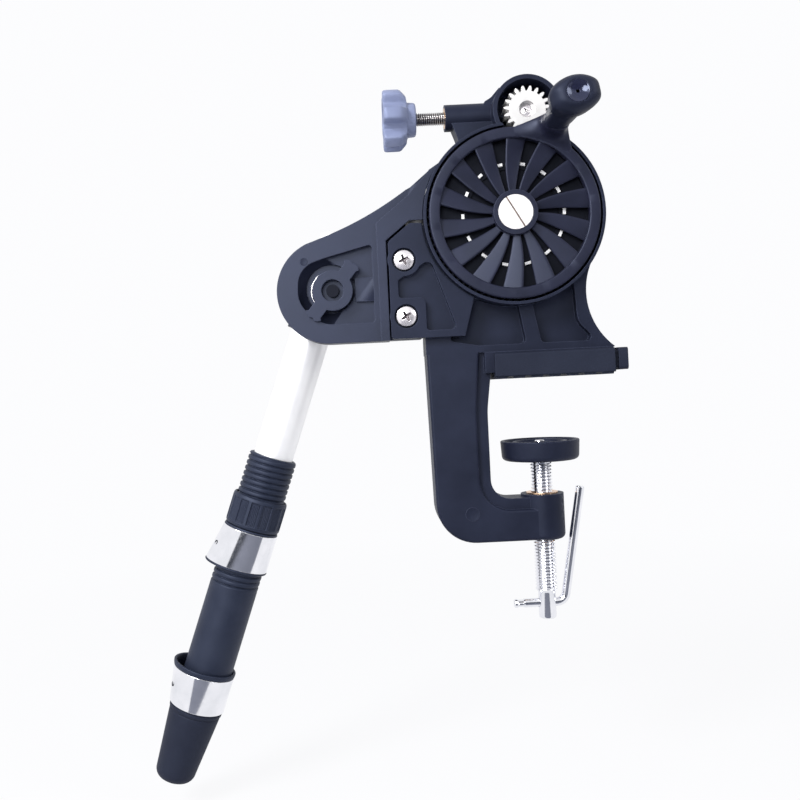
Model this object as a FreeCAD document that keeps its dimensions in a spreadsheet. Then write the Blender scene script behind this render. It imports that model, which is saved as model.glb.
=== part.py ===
"""Clamp-on fishing line winder: geared crank wheel, spool spindle, table clamp and reel arm.

Frame of the part: the origin lies on the clamp screw's axis at the underside of the upper jaw,
where a table top meets it. +Z is up, +X points away from the column and -Y towards the crank.
Depths that start with "f" in the notes below are measured towards the crank, so f = -Y.
"""
import FreeCAD, Part
import math
import os

from FreeCAD import Placement, Rotation, Vector

# Driving sizes in millimetres, angles in degrees.
SIZES = {
    # table clamp frame
    "frame_half": 9.0,            # half thickness of the column, arm and web
    "column_left_top": -51.2,
    "column_left_foot": -49.4,
    "column_inner": -22.0,         # at the jaw; the edge bows a little inwards below it
    "column_bow": 2.4,
    "arm_top": -54.7,
    "arm_bottom": -74.0,
    "outer_corner": 18.0,
    "inner_corner": 9.0,
    "land_step": 2.0,             # the strip along the inside of the C lies this much lower
    "land_strip": 5.0,
    "boss_radius": 9.8,
    "boss_rise": 1.2,             # boss above the arm's top
    "boss_sink": 0.4,             # and below its underside
    "web_pocket_depth": 4.5,
    # upper jaw
    "jaw_left": -20.8,
    "jaw_right": 33.4,
    "jaw_top": 12.4,
    "jaw_half": 10.6,
    "rubber_wall": 2.0,
    "rubber_lip_top": 11.8,
    "rubber_floor": 3.0,
    "tooth_pitch": 8.0,
    "tooth_crest": 5.5,
    "tooth_first": -20.75,
    "tooth_depth": 0.9,
    "tooth_count": 7,
    "tab_end": 39.5,
    # gear pair
    "gear_module": 1.0,
    "gear_teeth": 76,
    "pinion_teeth": 19,
    "pressure_angle": 20.0,
    "tooth_thinning": 0.10,       # taken off each tooth for backlash
    "wheel_x": -9.3,
    "wheel_z": 73.6,
    "mesh_angle": 80.0,           # direction from the wheel to the pinion, from +X
    "gear_front": 13.2,
    "gear_width": 5.6,
    "gear_web": 2.0,
    "gear_rim": 3.2,
    "gear_rib_radius": 21.4,
    "pinion_front": 13.5,
    "pinion_width": 8.1,
    "drum_radius": 7.8,
    # gear housing
    "tip_clearance": 0.4,
    "housing_wall": 1.3,
    "housing_front": 16.0,
    "housing_floor": 2.5,
    "housing_floor_thickness": 3.5,
    "pinion_cavity": 13.5,
    "pinion_wall": 2.0,
    "pinion_rim_front": 14.0,
    "pinion_floor": -0.6,
    # crank wheel
    "ring_outer": 38.3,
    "ring_inner": 33.3,
    "ring_front": 17.0,
    "ring_back": 13.8,
    "hub_outer": 9.9,
    "hub_recess": 7.9,
    "hub_front": 18.6,
    "blade_count": 14,
    "blade_thickness": 1.3,
    "blade_tilt": 11.0,
    "blade_depth": 2.05,          # blades' middle behind the ring's front
    "crank_radius": 42.0,
    "crank_angle": 63.7,
    "ear_front": 23.5,
    "ear_radius": 8.6,
    "ear_taper": 24.0,
    "ear_post_radius": 5.4,
    "ear_post_front": 28.6,
    # crank knob
    "knob_back": 28.9,
    "knob_edge": 57.8,            # where its domed front begins
    "knob_front": 62.8,
    "knob_wide": 20.6,
    "knob_tall": 15.6,
    "knob_cap_radius": 4.5,
    "knob_pin_radius": 2.5,
    # axle of the crank wheel
    "axle_radius": 4.0,
    "axle_head_radius": 7.7,
    "axle_stem_radius": 3.0,
    "running_gap": 0.05,          # radial gap of each shaft in its bore
    # spool spindle
    "spindle_radius": 3.0,
    "spindle_end": 98.0,          # reach behind the clamp's middle plane
    "bush_radius": 5.0,
    "bearing_boss": 8.4,
    "bearing_back": 15.0,
    "cone_radius": 15.0,
    "cone_nose": 5.5,
    "cone_length": 16.0,
    "inner_cone_back": 18.0,
    "spool_room": 26.0,           # between the two cones' noses
    "spool_nut_length": 8.0,
    "end_groove": 1.4,            # width of the groove between the nut's thread and the spindle's free end
    "end_groove_depth": 0.6,
    # brake screw
    "brake_depth": 2.5,
    "brake_shoe_radius": 2.5,
    "brake_boss_end": -37.3,
    "brake_boss_radius": 6.0,
    "brake_rise": 0.7,            # above the spindle's axis
    "brake_screw_radius": 3.0,
    "brake_knob_left": -65.6,
    "brake_knob_hub_end": -50.6,
    "brake_knob_radius": 13.8,
    "brake_gap": 0.3,
    # clamp screw
    "screw_radius": 5.0,
    "screw_core": 4.0,
    "screw_end": -111.3,
    "plain_start": -99.0,
    "pad_top": -28.9,
    "pad_thickness": 9.2,
    "pad_radius": 18.1,
    "bar_radius": 2.05,
    "bar_height": -104.3,
    "bar_left": -15.4,
    "bar_elbow": 8.2,
    "bar_reach": 54.0,
    "bar_splay": 10.2,
    # reel arm bracket
    "pivot_x": -92.2,
    "pivot_z": 43.3,
    "lobe_radius": 23.7,
    "lobe_shift": 1.5,            # the lobe's round end stands this far beyond the pivot
    "lobe_front": 11.0,
    "lobe_recess": 8.0,
    "strip_front": 12.5,
    "bracket_back": -2.0,
    "panel_back": 6.3,
    "screw_x": -59.5,
    "upper_screw_z": 55.6,
    "lower_screw_z": 30.2,
    "bracket_screw_radius": 2.5,
    "screw_head_radius": 4.5,
    "screw_head_height": 3.4,
    "counterbore_radius": 5.4,
    # pivot key
    "key_journal": 8.0,
    "key_radius": 9.1,
    "key_recess": 5.0,
    "key_front": 12.7,
    "key_ear_back": 11.15,
    "ear_reach": 15.9,
    "ear_width": 6.4,
    "ear_angle": 50.0,
    "crescent_radius": 11.2,
    # pipe and reel seat, measured along the pipe from the pivot's level
    "arm_lean": 19.75,            # from straight down towards -X
    "pipe_depth": 16.0,           # pipe axis behind the clamp's middle plane
    "pipe_offset": 5.8,
    "pipe_radius": 9.5,
    "pipe_wall": 1.0,
    "pipe_top": -27.0,
    "seat_start": 82.0,
    "seat_end": 212.0,
    "thread_radius": 11.6,
    "nut_start": 102.4,
    "nut_end": 117.3,
    "nut_radius": 13.2,
    "hood_end": 137.8,
    "hood_flare": 17.2,
    "hood_wall": 0.65,
    "hood_ring_wall": 0.55,
    "lower_hood_start": 187.8,
    "lower_hood_end": 207.6,
    "lower_hood_flare": 17.2,
    "butt_end": 244.2,
}

doc = FreeCAD.newDocument("LineWinder")
sheet = doc.addObject("Spreadsheet::Sheet", "Dims")
for row, (alias, value) in enumerate(SIZES.items(), start=1):
    sheet.set(f"A{row}", alias)
    sheet.set(f"B{row}", str(value))
    sheet.setAlias(f"B{row}", alias)
doc.recompute()


def size(alias):
    """One driving size, read back from the sheet."""
    return float(getattr(sheet, alias))


# ---- helpers for bodies, sketches and features ----

parts = []


def new_body(label, place=Placement()):
    """An empty body that becomes one node of the model."""
    made = doc.addObject("PartDesign::Body", label)
    made.Label = label
    made.Placement = place
    parts.append(made)
    return made


def plane_of(holder, role):
    return [item for item in holder.Origin.OriginFeatures if item.Role == role][0]


def sketch(holder, role, geometry, x="0", y="0", z="0", turn=0.0):
    """A sketch on one of the body's own planes, moved by expressions along its own axes."""
    made = holder.newObject("Sketcher::SketchObject", holder.Name + "_sketch")
    made.AttachmentSupport = (plane_of(holder, role), [""])
    made.MapMode = "FlatFace"
    made.AttachmentOffset = Placement(Vector(0, 0, 0), Rotation(Vector(0, 0, 1), turn))
    for axis, text in (("x", x), ("y", y), ("z", z)):
        made.setExpression("AttachmentOffset.Base." + axis, text)
    made.addGeometry(geometry, False)
    return made


def circle(radius, x=0.0, y=0.0):
    return Part.Circle(Vector(x, y, 0), Vector(0, 0, 1), radius)


def bound_circles(drawn, *texts):
    """Bind the radius of each circle of a sketch to an expression."""
    import Sketcher
    for index, text in enumerate(texts):
        radius = drawn.Geometry[index].Radius
        number = drawn.addConstraint(Sketcher.Constraint("Radius", index, radius))
        drawn.setExpression(f"Constraints[{number}]", text)
    return drawn


def rounded(corners):
    """A closed outline of straight runs, with each corner (x, y, radius) rounded by an arc."""
    count = len(corners)
    starts, ends, arcs = [], [], []
    for index, (x, y, radius) in enumerate(corners):
        here = Vector(x, y, 0)
        before = Vector(*corners[index - 1][:2], 0) - here
        after = Vector(*corners[(index + 1) % count][:2], 0) - here
        before.normalize()
        after.normalize()
        half = before.getAngle(after) / 2
        if radius <= 0 or abs(half - math.pi / 2) < 1e-6:
            starts.append(here)
            ends.append(here)
            arcs.append(None)
            continue
        reach = radius / math.tan(half)
        middle = before + after
        middle.normalize()
        centre = here + middle * (radius / math.sin(half))
        start = here + before * reach
        end = here + after * reach
        starts.append(start)
        ends.append(end)
        arcs.append(Part.Arc(start, centre - middle * radius, end))
    edges = []
    for index in range(count):
        if arcs[index] is not None:
            edges.append(arcs[index])
        following = starts[(index + 1) % count]
        if (following - ends[index]).Length > 1e-6:
            edges.append(Part.LineSegment(ends[index], following))
    return edges


def rectangle(x0, y0, x1, y1, radius=0.0):
    return rounded([(x0, y0, radius), (x1, y0, radius), (x1, y1, radius), (x0, y1, radius)])


def sector(inner, outer, start, end):
    """A ring sector between two radii and two angles in degrees."""
    def at(radius, angle):
        turn = math.radians(angle)
        return Vector(radius * math.cos(turn), radius * math.sin(turn), 0)
    middle = (start + end) / 2
    return [Part.Arc(at(inner, start), at(inner, middle), at(inner, end)),
            Part.LineSegment(at(inner, end), at(outer, end)),
            Part.Arc(at(outer, end), at(outer, middle), at(outer, start)),
            Part.LineSegment(at(outer, start), at(inner, start))]


def pad(holder, profile, length):
    made = holder.newObject("PartDesign::Pad", holder.Name + "_pad")
    made.Profile = profile
    made.setExpression("Length", length)
    profile.Visibility = False
    return made


def pocket(holder, profile, length, reverse=False):
    made = holder.newObject("PartDesign::Pocket", holder.Name + "_pocket")
    made.Profile = profile
    made.Reversed = reverse
    made.setExpression("Length", length)
    return made


def prism(holder, outline, back, front, **place):
    """Add a plate between two depths, both measured towards the crank."""
    return pad(holder, sketch(holder, "XZ_Plane", outline, z=back, **place), f"({front}) - ({back})")


def cut(holder, outline, back, front, **place):
    """Cut a recess between two depths, both measured towards the crank."""
    return pocket(holder, sketch(holder, "XZ_Plane", outline, z=front, **place), f"({front}) - ({back})")


def disc(holder, radius, back, front, x="0", y="0"):
    """Add a round plate whose radius is an expression."""
    drawn = sketch(holder, "XZ_Plane", [circle(10)], x=x, y=y, z=back)
    return pad(holder, bound_circles(drawn, radius), f"({front}) - ({back})")


def bore(holder, radius, back, front, x="0", y="0"):
    """Cut a round hole whose radius is an expression."""
    drawn = sketch(holder, "XZ_Plane", [circle(10)], x=x, y=y, z=front)
    return pocket(holder, bound_circles(drawn, radius), f"({front}) - ({back})")


def turned(holder, points, role="XZ_Plane", angle=360.0):
    """Revolve a closed profile of (radius, height) corners about the plane's own upright axis."""
    outline = rounded([point if len(point) == 3 else (*point, 0.0) for point in points])
    profile = sketch(holder, role, outline)
    made = holder.newObject("PartDesign::Revolution", holder.Name + "_turn")
    made.Profile = profile
    made.ReferenceAxis = (profile, ["V_Axis"])
    made.Angle = angle
    return made


def polar(holder, feature, plane_axis, count):
    """Repeat a feature round one of the body's own axes."""
    made = holder.newObject("PartDesign::PolarPattern", holder.Name + "_round")
    made.Originals = [feature]
    made.Axis = (plane_of(holder, plane_axis), [""])
    made.Angle = 360
    made.setExpression("Occurrences", count)
    holder.Tip = made
    return made


def soften(holder, radius, wanted):
    """Round the edges that the test picks; it gets the edge's middle and its ends' direction."""
    doc.recompute()
    tip = holder.Tip
    names = [f"Edge{number}" for number, edge in enumerate(tip.Shape.Edges, start=1) if wanted(edge)]
    made = holder.newObject("PartDesign::Fillet", holder.Name + "_soft")
    made.Base = (tip, names)
    made.Radius = radius
    return made


def middle_of(edge):
    return edge.valueAt((edge.FirstParameter + edge.LastParameter) / 2)


def cylinder(label, radius, length, place):
    """A plain round bar along its placement's own Z."""
    made = doc.addObject("Part::Cylinder", label)
    made.Label = label
    made.setExpression("Radius", radius)
    made.setExpression("Height", length)
    made.Placement = place
    return made


def towards_crank(x, z, depth):
    """A placement whose own Z points at the crank side, at a depth f."""
    return Placement(Vector(x, -depth, z), Rotation(Vector(1, 0, 0), 90))


# ---- places worked out from the driving sizes ----

module = size("gear_module")
wheel_x, wheel_z = size("wheel_x"), size("wheel_z")
centre_distance = module * (size("gear_teeth") + size("pinion_teeth")) / 2
mesh_turn = math.radians(size("mesh_angle"))
pinion_x = wheel_x + centre_distance * math.cos(mesh_turn)
pinion_z = wheel_z + centre_distance * math.sin(mesh_turn)
crank_turn = math.radians(size("crank_angle"))
knob_x = wheel_x + size("crank_radius") * math.cos(crank_turn)
knob_z = wheel_z + size("crank_radius") * math.sin(crank_turn)
gear_tip = module * (size("gear_teeth") / 2 + 1)
pinion_tip = module * (size("pinion_teeth") / 2 + 1)
cavity = gear_tip + size("tip_clearance")
housing_outer = cavity + size("housing_wall")
pinion_outer = size("pinion_cavity") + size("pinion_wall")
gap = size("running_gap")
half = size("frame_half")
arm_top, arm_bottom = size("arm_top"), size("arm_bottom")
inner = size("column_inner")
pivot_x, pivot_z = size("pivot_x"), size("pivot_z")
WHEEL = {"x": "Dims.wheel_x", "y": "Dims.wheel_z"}
PINION = {"x": str(pinion_x), "y": str(pinion_z)}


# ---- main frame: C-shaped clamp, web and gear housing in one moulding ----

def build_main_frame():
    frame = new_body("main_frame")
    step = size("land_strip")
    bowed = inner - size("column_bow")
    prism(frame, rounded([
        (size("column_left_top"), wheel_z - 52, 0), (size("column_left_foot"), arm_bottom, size("outer_corner")),
        (0, arm_bottom, 0), (0, arm_top, 0), (bowed, arm_top, size("inner_corner")), (bowed, -14, 40), (inner, 4, 0),
        (inner, 14, 0)]),
        "-Dims.frame_half", "Dims.frame_half")
    strip = [(inner - step, 13.6, 0), (bowed - step, -14, 40), (bowed - step, arm_top - step, size("inner_corner") + step),
             (0, arm_top - step, 0), (0, arm_top + 4, 0), (inner + 4, arm_top + 4, 0), (inner + 4, 13.6, 0)]
    cut(frame, rounded(strip), "Dims.frame_half - Dims.land_step", "Dims.frame_half")
    cut(frame, rounded(strip), "-Dims.frame_half", "-Dims.frame_half + Dims.land_step")
    soften(frame, 1.2, lambda edge: abs(abs(middle_of(edge).y) - half) < 1e-3 and middle_of(edge).z < 10
           and middle_of(edge).x < -9)

    # upper web, with its concave free edge, and the jaw's flange under it
    jaw_top = size("jaw_top")
    free_edge = [Vector(34.6, jaw_top, 0), Vector(22.9, 33.0, 0), Vector(25.8, 51.5, 0)]
    corner = Vector(size("column_left_top"), wheel_z - 52, 0)
    heart = Vector(wheel_x, wheel_z, 0)
    prism(frame, [Part.Arc(*free_edge), Part.LineSegment(free_edge[2], heart),
                  Part.LineSegment(heart, corner),
                  Part.LineSegment(corner, Vector(corner.x, jaw_top, 0)),
                  Part.LineSegment(Vector(corner.x, jaw_top, 0), free_edge[0])],
          "-Dims.frame_half", "Dims.frame_half")
    prism(frame, rectangle(inner - 3, size("rubber_floor"), size("jaw_right"), jaw_top),
          "-Dims.jaw_half", "Dims.jaw_half")
    left_pocket = rounded([(-40.5, 18.2, 2), (-27.2, 15.6, 2), (-5.4, 15.6, 2), (-8.6, 34, 2), (-33.6, 37.5, 2)])
    right_pocket = rounded([(1.4, 15.6, 2), (26.4, 15.6, 2), (18.2, 24.5, 9), (17.0, 44, 2), (-2.6, 36, 2)])
    for outline in (left_pocket, right_pocket):
        cut(frame, outline, "Dims.frame_half - Dims.web_pocket_depth", "Dims.frame_half")
        cut(frame, outline, "-Dims.frame_half", "-Dims.frame_half + Dims.web_pocket_depth")

    # screw panel in front of the bracket
    panel = rounded([(-66.6, 20.2, 1.5), (-66.3, 64.0, 3), (-56.2, 72.0, 3), (-51.0, 71.8, 3),
                     (-40, 62, 0), (-28, 40, 0), (-33.5, 20.2, 0)])
    prism(frame, panel, "Dims.panel_back", "Dims.strip_front")
    prism(frame, rounded([(-50.4, 20.2, 0), (-46.6, 60, 0), (-20, 60, 0), (-33.5, 20.2, 0)]),
          "-Dims.frame_half", "Dims.panel_back")
    cut(frame, rounded([(-62.6, 38.4, 1.5), (-62.6, 46.6, 1.5), (-47.6, 55.5, 3), (-36.8, 23.4, 2), (-50.6, 23.4, 1.5),
                        (-50.6, 38.4, 3)]), "Dims.strip_front - 3", "Dims.strip_front")
    for height in ("Dims.upper_screw_z", "Dims.lower_screw_z"):
        disc(frame, "Dims.counterbore_radius + 2", "Dims.panel_back", "Dims.strip_front", x="Dims.screw_x", y=height)
        bore(frame, "Dims.counterbore_radius", "Dims.strip_front - 2.7", "Dims.strip_front + 1",
             x="Dims.screw_x", y=height)
        bore(frame, "Dims.bracket_screw_radius + 0.1", "Dims.panel_back - 1", "Dims.strip_front",
             x="Dims.screw_x", y=height)

    # wheel housing, pinion housing and the boss of the brake screw
    disc(frame, str(housing_outer), "-Dims.frame_half", "Dims.housing_front", **WHEEL)
    disc(frame, str(pinion_outer), "-Dims.frame_half", "Dims.pinion_rim_front", **PINION)
    brake_z = f"{pinion_z} + Dims.brake_rise"
    shoulder = sketch(frame, "YZ_Plane", [circle(6)], x="-Dims.brake_depth", y=brake_z, z="Dims.brake_boss_end")
    pad(frame, bound_circles(shoulder, "Dims.brake_boss_radius"), f"{pinion_x} - 10 - Dims.brake_boss_end")
    prism(frame, rounded([(-34.5, pinion_z - 3, 0), (-32.5, pinion_z - 8.5, 3), (-30.4, pinion_z - 16, 0), (-9, pinion_z - 16, 0),
                          (-9, pinion_z - 3, 0)]), "Dims.brake_depth - 5", "Dims.brake_depth + 5")
    prism(frame, rounded([(-19.5, pinion_z + 3, 0), (-19.5, pinion_z + 6.2, 2), (-16.0, pinion_z + 8.2, 4),
                          (-12.0, pinion_z + 12.6, 0), (-9, pinion_z + 3, 0)]), "Dims.brake_depth - 4", "Dims.brake_depth + 4")
    disc(frame, "Dims.bearing_boss", "-Dims.bearing_back", "-1", **PINION)
    bore(frame, str(cavity), "Dims.housing_floor", "Dims.housing_front", **WHEEL)
    bore(frame, "Dims.pinion_cavity", "Dims.pinion_floor", "Dims.housing_front + 1", **PINION)
    # a shallow groove parts the panel from the housing's rim
    groove = sketch(frame, "XZ_Plane", [circle(10), circle(11)], z="Dims.strip_front + 0.5", **WHEEL)
    bound_circles(groove, str(housing_outer), str(housing_outer + 0.8))
    pocket(frame, groove, "2.5")
    # back of the housing: a floor with ribs round the axle's boss
    spokes = 8
    rib = 2.6
    back_room = []
    for number in range(spokes):
        middle = 360 / spokes * number + 22.5
        spread = 180 / spokes
        inner_trim = math.degrees(rib / 2 / 10.5)
        outer_trim = math.degrees(rib / 2 / (cavity - 1))
        trim = (inner_trim + outer_trim) / 2.4
        back_room += sector(11.0, cavity - 0.8, middle - spread + trim, middle + spread - trim)
    hollow = sketch(frame, "XZ_Plane", back_room, z="Dims.housing_floor - Dims.housing_floor_thickness", **WHEEL)
    pocket(frame, hollow, "Dims.frame_half + Dims.housing_floor - Dims.housing_floor_thickness")
    disc(frame, "9", "Dims.housing_floor - 1", "Dims.housing_floor + 0.5", **WHEEL)
    # holes: axle, spindle bushes, brake screw and its insert
    bore(frame, "Dims.axle_stem_radius + 0.02", "-Dims.frame_half - 1", "Dims.housing_floor + 1", **WHEEL)
    bore(frame, "6.6", "-Dims.frame_half", "-Dims.frame_half + 5.4", **WHEEL)
    bore(frame, "Dims.bush_radius", "-Dims.bearing_back", "Dims.pinion_floor + 1", **PINION)
    tunnel = sketch(frame, "YZ_Plane", [circle(3)], x="-Dims.brake_depth", y=brake_z, z=f"{pinion_x} - 6")
    pocket(frame, bound_circles(tunnel, "Dims.brake_screw_radius + 0.3"), f"{pinion_x} - 5 - Dims.brake_boss_end")
    socket = sketch(frame, "YZ_Plane", [circle(4)], x="-Dims.brake_depth", y=brake_z, z="Dims.brake_boss_end + 9")
    pocket(frame, bound_circles(socket, "Dims.brake_screw_radius + 1.6"), "10")

    # screw boss at the end of the lower arm
    radius, under = size("boss_radius"), arm_bottom - size("boss_sink")
    over = arm_top + size("boss_rise")
    turned(frame, [(0, under), (radius, under, 2.4), (radius, over), (0, over)])
    hole = sketch(frame, "XY_Plane", [circle(9)], z="Dims.arm_top + Dims.boss_rise")
    pocket(frame, bound_circles(hole, "Dims.screw_radius + 1.7"), "30")
    return frame


def build_jaw_pad():
    """Rubber channel pushed over the jaw's flange, with a scalloped sole and an end tab."""
    rubber = new_body("jaw_pad")
    outer = size("jaw_half") + size("rubber_wall")
    inner_half = size("jaw_half") + 0.05
    lip, floor, depth = size("rubber_lip_top"), size("rubber_floor"), size("tooth_depth")
    channel = rounded([(-outer, depth, 0.6), (outer, depth, 0.6), (outer, lip, 1.0), (inner_half, lip, 0),
                       (inner_half, floor, 0), (-inner_half, floor, 0), (-inner_half, lip, 0), (-outer, lip, 1.0)])
    pad(rubber, sketch(rubber, "YZ_Plane", channel, z="Dims.jaw_left"), "Dims.jaw_right - Dims.jaw_left")
    pad(rubber, sketch(rubber, "YZ_Plane", rectangle(-outer + 2.5, depth + 1.5, outer - 2.5, lip - 1, 1),
                       z="Dims.jaw_right"), "Dims.tab_end - Dims.jaw_right")
    pad(rubber, sketch(rubber, "YZ_Plane", rectangle(-outer + 1.0, depth + 0.9, outer - 1.0, lip, 1.5),
                       z="Dims.jaw_right + 1.8"), "Dims.tab_end - Dims.jaw_right - 1.8")
    slant = 0.3
    teeth = []
    for number in range(int(size("tooth_count"))):
        left = size("tooth_first") + size("tooth_pitch") * number
        right = left + size("tooth_crest")
        teeth += rounded([(left, depth, 0), (left + slant, 0, 0), (right - slant, 0, 0), (right, depth, 0)])
    drawn = sketch(rubber, "XZ_Plane", teeth, z=str(-outer + 0.8))
    pad(rubber, drawn, str(2 * outer - 1.6))


# ---- reel arm bracket ----

def build_bracket():
    """Plate with a round lobe; it runs behind the frame's panel and hugs the housing's rim."""
    plate = new_body("reel_arm_bracket")
    radius = size("lobe_radius")
    bottom = pivot_z - radius
    slope = math.radians(25.8)
    lobe_x = pivot_x - size("lobe_shift")
    tangent = Vector(lobe_x - radius * math.sin(slope), pivot_z + radius * math.cos(slope), 0)
    shelf = Vector(-66.5, tangent.y + (-66.5 - tangent.x) * math.tan(slope), 0)
    shoulder = Vector(-55.1, 88.3, 0)
    crown = Vector(-46.2, 95.6, 0)
    hug = Vector(wheel_x, wheel_z, 0)

    def rim(angle, extra=0.15):
        turn = math.radians(angle)
        return hug + Vector(math.cos(turn), math.sin(turn), 0) * (housing_outer + extra)
    inner_edge = Part.Arc(rim(142.5), rim(162), rim(180.5))
    outline = [Part.LineSegment(Vector(lobe_x, bottom, 0), Vector(-67.3, bottom, 0)),
               Part.LineSegment(Vector(-67.3, bottom, 0), Vector(-67.3, 64.6, 0)),
               Part.LineSegment(Vector(-67.3, 64.6, 0), Vector(-56.4, 73.2, 0)),
               Part.LineSegment(Vector(-56.4, 73.2, 0), rim(180.5)), inner_edge,
               Part.LineSegment(rim(142.5), crown), Part.LineSegment(crown, shoulder),
               Part.LineSegment(shoulder, shelf), Part.LineSegment(shelf, tangent),
               Part.LineSegment(tangent, Vector(lobe_x, bottom, 0))]
    back = "Dims.bracket_back"
    prism(plate, outline, back, "Dims.lobe_front")
    disc(plate, "Dims.lobe_radius", back, "Dims.lobe_front", x="Dims.pivot_x - Dims.lobe_shift", y="Dims.pivot_z")
    # the tongue behind the screw panel
    prism(plate, rounded([(-70, bottom + 0.4, 0), (-51.6, bottom + 0.4, 2), (-49.4, 60, 0), (-54, 72, 0), (-70, 72, 0)]),
          back, "Dims.panel_back")
    # raised strip beside the panel, up to the housing's rim, with a bevel towards the lobe
    high = [Part.LineSegment(Vector(-71.2, bottom, 0), Vector(-67.3, bottom, 0)), *outline[1:4], inner_edge,
            outline[5], Part.LineSegment(crown, Vector(-56.4, 84.6, 0)),
            Part.LineSegment(Vector(-56.4, 84.6, 0), Vector(-71.2, 72.8, 0)),
            Part.LineSegment(Vector(-71.2, 72.8, 0), Vector(-71.2, bottom, 0))]
    prism(plate, high, "Dims.lobe_front - 1", "Dims.strip_front")
    # recess round the key, and the raised block that its ears pass over
    recess = rounded([(-73.6, 28.2, 1.5), (-97, 28.2, 12), (-108.2, 38, 12), (-107.2, 54.5, 11), (-95, 58.3, 12),
                      (-73.6, 63.6, 1.5)])
    cut(plate, recess, "Dims.lobe_recess", "Dims.lobe_front")
    prism(plate, rectangle(-82, 38, -73, 48.9, 0.6), "Dims.lobe_recess", "Dims.lobe_front - 1.5")
    # eccentric well round the key, and the journal bore through its floor
    bore(plate, "Dims.crescent_radius", "1.6", "Dims.lobe_front", x="Dims.pivot_x - 1.0", y="Dims.pivot_z + 1.2")
    bore(plate, "Dims.key_journal + Dims.running_gap", "Dims.bracket_back - 1", "3", x="Dims.pivot_x", y="Dims.pivot_z")
    for height in ("Dims.upper_screw_z", "Dims.lower_screw_z"):
        bore(plate, "Dims.bracket_screw_radius + 0.1", "Dims.bracket_back - 1", "Dims.panel_back + 1",
             x="Dims.screw_x", y=height)
        trap = sketch(plate, "XZ_Plane", hexagon(8.1), z="Dims.bracket_back + 3.2", x="Dims.screw_x", y=height)
        pocket(plate, trap, "4")
    return plate


def hexagon(across):
    """A regular hexagon by its width across flats."""
    reach = across / math.sqrt(3)
    corners = [(reach * math.cos(math.radians(60 * turn)), reach * math.sin(math.radians(60 * turn)), 0)
               for turn in range(6)]
    return rounded(corners)


def group(label, members):
    """Several equal separate pieces kept as one node."""
    made = doc.addObject("Part::Compound", label)
    made.Label = label
    made.Links = members
    parts.append(made)
    return made


def build_bracket_screws():
    screws, nuts = [], []
    heights = {"upper": "upper_screw_z", "lower": "lower_screw_z"}
    for name, alias in heights.items():
        base = size("strip_front") - 2.7
        shank_back = size("bracket_back") + 0.4
        place_shank = towards_crank(size("screw_x"), size(alias), shank_back)
        shank = cylinder(name + "_shank", "Dims.bracket_screw_radius", str(base - shank_back + 0.5), place_shank)
        head = cylinder(name + "_head", "Dims.screw_head_radius", "Dims.screw_head_height",
                        towards_crank(size("screw_x"), size(alias), base))
        dome = doc.addObject("Part::Fillet", name + "_dome")
        dome.Base = head
        doc.recompute()
        top = [number for number, edge in enumerate(head.Shape.Edges, start=1)
               if abs(edge.CenterOfMass.y + base + size("screw_head_height")) < 1e-3][0]
        dome.Edges = [(top, 1.6, 1.6)]
        screw = doc.addObject("Part::Fuse", name + "_screw")
        screw.Base = shank
        screw.Tool = dome
        screws.append(screw)
        nut = doc.addObject("Part::Prism", name + "_nut_body")
        nut.Polygon = 6
        nut.Circumradius = 8.0 / math.sqrt(3)
        nut.Height = 3.0
        nut.Placement = towards_crank(size("screw_x"), size(alias), size("bracket_back") + 0.1)
        hole = cylinder(name + "_nut_bore", "Dims.bracket_screw_radius + 0.02", "8",
                        towards_crank(size("screw_x"), size(alias), size("bracket_back") - 2))
        drilled = doc.addObject("Part::Cut", name + "_nut")
        drilled.Base = nut
        drilled.Tool = hole
        nuts.append(drilled)
    group("bracket_screws", screws)
    group("bracket_nuts", nuts)


# ---- gears ----

def involute(base, radius, start):
    """Point of the involute of a base circle at a radius, turned by a start angle."""
    if radius <= base:
        return Vector(radius * math.cos(start), radius * math.sin(start), 0)
    roll = math.sqrt((radius / base) ** 2 - 1)
    angle = start + roll - math.atan(roll)
    return Vector(radius * math.cos(angle), radius * math.sin(angle), 0)


def gear_outline(teeth, turn):
    """Outline of an involute spur gear; turn is the direction of one tooth's middle, in degrees."""
    pressure = math.radians(size("pressure_angle"))
    pitch = module * teeth / 2
    base = pitch * math.cos(pressure)
    root, tip = pitch - 1.25 * module, pitch + module
    at_pitch = math.tan(pressure) - pressure
    half_tooth = math.pi / 2 / teeth - size("tooth_thinning") / 2 / pitch
    flank_start = max(root, base)
    edges = []
    ends = []
    for number in range(teeth):
        middle = math.radians(turn) + 2 * math.pi * number / teeth

        def flank(radius, side):
            near = involute(base, radius, -half_tooth - at_pitch)
            return Rotation(Vector(0, 0, 1), math.degrees(middle)).multVec(Vector(near.x, side * near.y, 0))
        levels = [flank_start, (flank_start + tip) / 2, tip]
        right = [flank(level, 1) for level in levels]
        left = [flank(level, -1) for level in levels]
        top = Vector(math.cos(middle), math.sin(middle), 0) * tip
        feet = [flank(root, 1), flank(root, -1)]
        if flank_start > root:
            edges.append(Part.LineSegment(feet[0], right[0]))
        edges.append(Part.Arc(*right))
        edges.append(Part.Arc(right[2], top, left[2]))
        edges.append(Part.Arc(left[2], left[1], left[0]))
        if flank_start > root:
            edges.append(Part.LineSegment(left[0], feet[1]))
        ends.append(feet)
    for number in range(teeth):
        here, following = ends[number][1], ends[(number + 1) % teeth][0]
        middle = here + following
        middle.normalize()
        edges.append(Part.Arc(here, middle * root, following))
    return edges


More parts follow.
